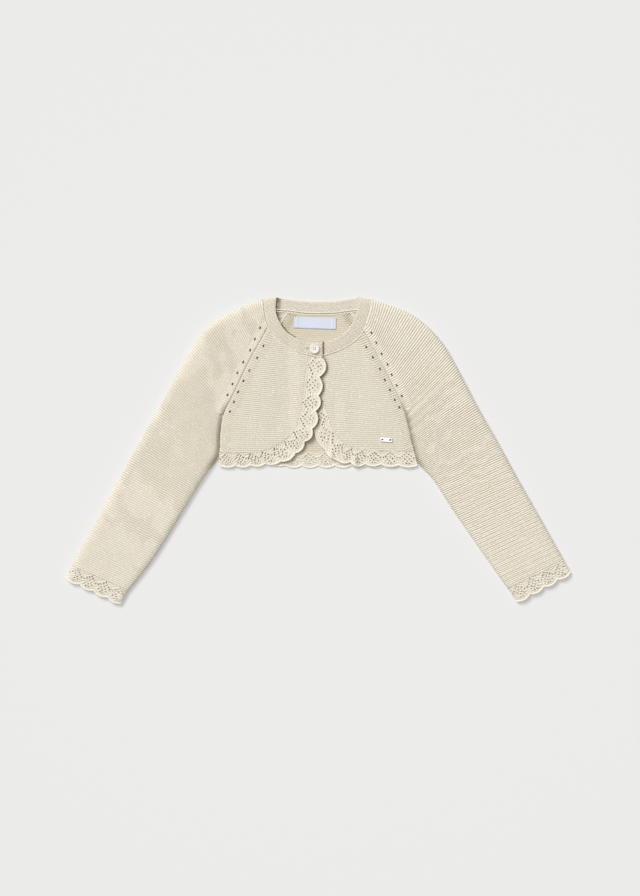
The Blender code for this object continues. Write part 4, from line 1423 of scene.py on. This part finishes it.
def finished(piece, finish):
    """Smooths a fastening, and gives it its one finish."""
    only_active(piece)
    bpy.ops.object.shade_smooth_by_angle(angle=math.radians(40))
    piece.data.materials.clear()
    piece.data.materials.append(finish)


bpy.ops.object.select_all(action="DESELECT")
middle = (BUTTON["x"] * MM, BUTTON["y"] * MM, (BUTTON["bottom"] + BUTTON["thick"] / 2) * MM)
bpy.ops.mesh.primitive_cylinder_add(
    vertices=64, radius=BUTTON["diameter"] / 2 * MM, depth=BUTTON["thick"] * MM, location=middle
)
button = bpy.context.object
button.name = "button_pearl"
bpy.ops.object.transform_apply(location=True, rotation=True, scale=True)
bevelled(button, BUTTON_ROUND, 4)
bpy.ops.object.mode_set(mode="EDIT")
bpy.ops.mesh.select_mode(type="FACE")
bpy.ops.mesh.select_all(action="DESELECT")
select_upward(button)
bpy.ops.mesh.inset(thickness=(BUTTON_RIM - BUTTON_ROUND) * MM, depth=0)
bpy.ops.mesh.inset(thickness=0.45 * MM, depth=-0.42 * MM)
bpy.ops.mesh.inset(thickness=1.2 * MM, depth=-0.1 * MM)
bpy.ops.object.mode_set(mode="OBJECT")
reach = BUTTON["circle"] / 2 * math.sqrt(0.5)
button_holes = [(BUTTON["x"] + a * reach, BUTTON["y"] + b * reach) for a in (-1, 1) for b in (-1, 1)]
drilled(button, button_holes, BUTTON["hole"], BUTTON["bottom"])
bevelled(button, 0.1, 2)
finished(button, pearl)
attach(button, "root")
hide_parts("button")
for number, (x, y) in enumerate(button_holes[:2], 1):
    face_z = BUTTON["bottom"] + BUTTON["thick"] - 0.5
    line = np.array([(x - 0.6, y, face_z), (x + 2 * reach + 0.6, y, face_z)])
    strands = np.array([line + (0, offset, 0) for offset in (-0.24, 0.24)])
    for strand, points in enumerate(strands, 1):
        length = points[1, 0] - points[0, 0]
        name = f"button_thread_{number}_{strand}"
        stitches_along(name, points, length, (length / 2, 0.2, 0.34), thread)


# Plaque. A small plain metal plate with rounded ends, sewn on through a hole near each
# end. Its face is left blank.
PLAQUE = {"x": 87.0, "y": 14.6, "turn": -3.0, "bottom": 5.85}
PLAQUE |= {"length": 15.6, "width": 5.6, "thick": 1.0, "hole": 2.4}
PLAQUE_INSET = 2.4

steel, nodes, links, shader = new_material("bright_steel")
set_inputs(shader, {"Base Color": (0.80, 0.775, 0.80, 1), "Metallic": 1})
place = added(nodes, "TexCoord")
turned = {"Rotation": (0, 0, math.radians(-PLAQUE["turn"])), "Scale": (60, 2500, 2500)}
stretch = added(nodes, "Mapping", turned)
brushed = added(nodes, "TexNoise", {"Scale": 1.0})
links.new(place.outputs["Object"], stretch.inputs["Vector"])
links.new(stretch.outputs["Vector"], brushed.inputs["Vector"])
grain = added(nodes, "MapRange", {"To Min": 0.26, "To Max": 0.38})
links.new(brushed.outputs["Fac"], grain.inputs["Value"])
links.new(grain.outputs["Result"], shader.inputs["Roughness"])

bpy.ops.object.select_all(action="DESELECT")
bpy.ops.mesh.primitive_cube_add(size=MM, location=(0, 0, 0))
plaque = bpy.context.object
plaque.name = "plaque_steel"
plaque.scale = (PLAQUE["length"], PLAQUE["width"], PLAQUE["thick"])
bpy.ops.object.transform_apply(location=True, rotation=True, scale=True)
bpy.ops.object.mode_set(mode="EDIT")
bpy.ops.mesh.select_mode(type="EDGE")
bpy.ops.mesh.select_all(action="DESELECT")
mesh_data = bmesh.from_edit_mesh(plaque.data)
for edge in mesh_data.edges:
    ends = edge.verts[0].co - edge.verts[1].co
    edge.select_set(abs(ends.z) > 0.5 * MM and abs(ends.x) + abs(ends.y) < 0.01 * MM)
bmesh.update_edit_mesh(plaque.data)
bpy.ops.mesh.bevel(offset=1.7 * MM, segments=8, affect="EDGES")
bpy.ops.object.mode_set(mode="OBJECT")
reach = PLAQUE["length"] / 2 - PLAQUE_INSET
drilled(plaque, [(-reach, 0), (reach, 0)], PLAQUE["hole"], 0)
bevelled(plaque, 0.16, 2)
plaque.location = (PLAQUE["x"] * MM, PLAQUE["y"] * MM, (PLAQUE["bottom"] + PLAQUE["thick"] / 2) * MM)
plaque.rotation_euler = (0, 0, math.radians(PLAQUE["turn"]))
bpy.ops.object.transform_apply(location=True, rotation=True, scale=True)
finished(plaque, steel)
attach(plaque, "root")
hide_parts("plaque")


# Neck label. A blank strip of woven satin, its ends folded under, stitched down at both
# ends inside the back of the neck.
LABEL = {"x": -5.8, "y": 166.3, "length": 55.0, "width": 14.5, "turn": -2.0, "bottom": 2.4, "top": 3.3}
LABEL_FOLD = (5.2, 5.9)  # from the end of the label, where its folded end stops
LABEL_SEWN = 2.2
LABEL_STITCH = 1.15
LABEL_STITCH_SIZE = (0.52, 0.16, 0.18)  # half length, half width, half height

satin, nodes, links, shader = new_material("woven_satin")
set_inputs(shader, {"Roughness": 0.5, "Sheen Weight": 0.2})
pit = added(nodes, "Attribute", attribute_name="pit")
blues = {6: (0.70, 0.745, 0.87, 1), 7: (0.46, 0.52, 0.70, 1)}
edging = added(nodes, "Mix", blues, data_type="RGBA")
links.new(pit.outputs["Fac"], edging.inputs[0])
links.new(edging.outputs[2], shader.inputs["Base Color"])
weave_map = added(nodes, "UVMap", uv_map="cloth")
relief = added(nodes, "Bump", {"Strength": 0.35, "Distance": 0.0001})
picks = added(nodes, "TexWave", {"Scale": BAND_PITCH / 0.45, "Distortion": 0.6}, bands_direction="Y")
links.new(weave_map.outputs["UV"], picks.inputs["Vector"])
links.new(picks.outputs["Fac"], relief.inputs["Height"])
links.new(relief.outputs["Normal"], shader.inputs["Normal"])

across, up = np.meshgrid(np.linspace(-1, 1, 90), np.linspace(1, -1, 26))
turn = math.radians(LABEL["turn"])
x, y = across * LABEL["length"] / 2, up * LABEL["width"] / 2
plan = np.dstack([x * math.cos(turn) - y * math.sin(turn), x * math.sin(turn) + y * math.cos(turn)])
plan += (LABEL["x"], LABEL["y"])
from_end = LABEL["length"] / 2 * (1 - np.abs(across))
from_side = LABEL["width"] / 2 * (1 - np.abs(up))
folded_end = 0.3 * (1 - ramp(from_end, *LABEL_FOLD)) - 0.5 * bell(from_end, LABEL_SEWN, 0.5)
to_edge = 1 - np.clip(np.minimum(from_end, from_side) / 0.5, 0, 1)
soft_edge = 0.5 * (1 - np.sqrt(1 - to_edge**2))
wave = 0.14 * np.sin(x / 6.5 + 0.6) * np.cos(y / 9)
face = np.dstack([plan, LABEL["top"] - 0.35 + wave + folded_end - soft_edge])
reverse = np.dstack([plan, LABEL["bottom"] + 0.05 + 0 * x])
uv = np.dstack([x, y])
border = 0.55 * bell(from_side, 0.9, 0.3)
label = cloth("neck_label_woven", face, reverse, (uv, uv), (border, 0), (satin,))
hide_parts("neck_label")
for number, column in enumerate((4, 85), 1):
    line = face[2:-2, column] + (0, 0, 0.05)
    stitches_along(f"label_stitches_{number}", line, LABEL_STITCH, LABEL_STITCH_SIZE, thread)
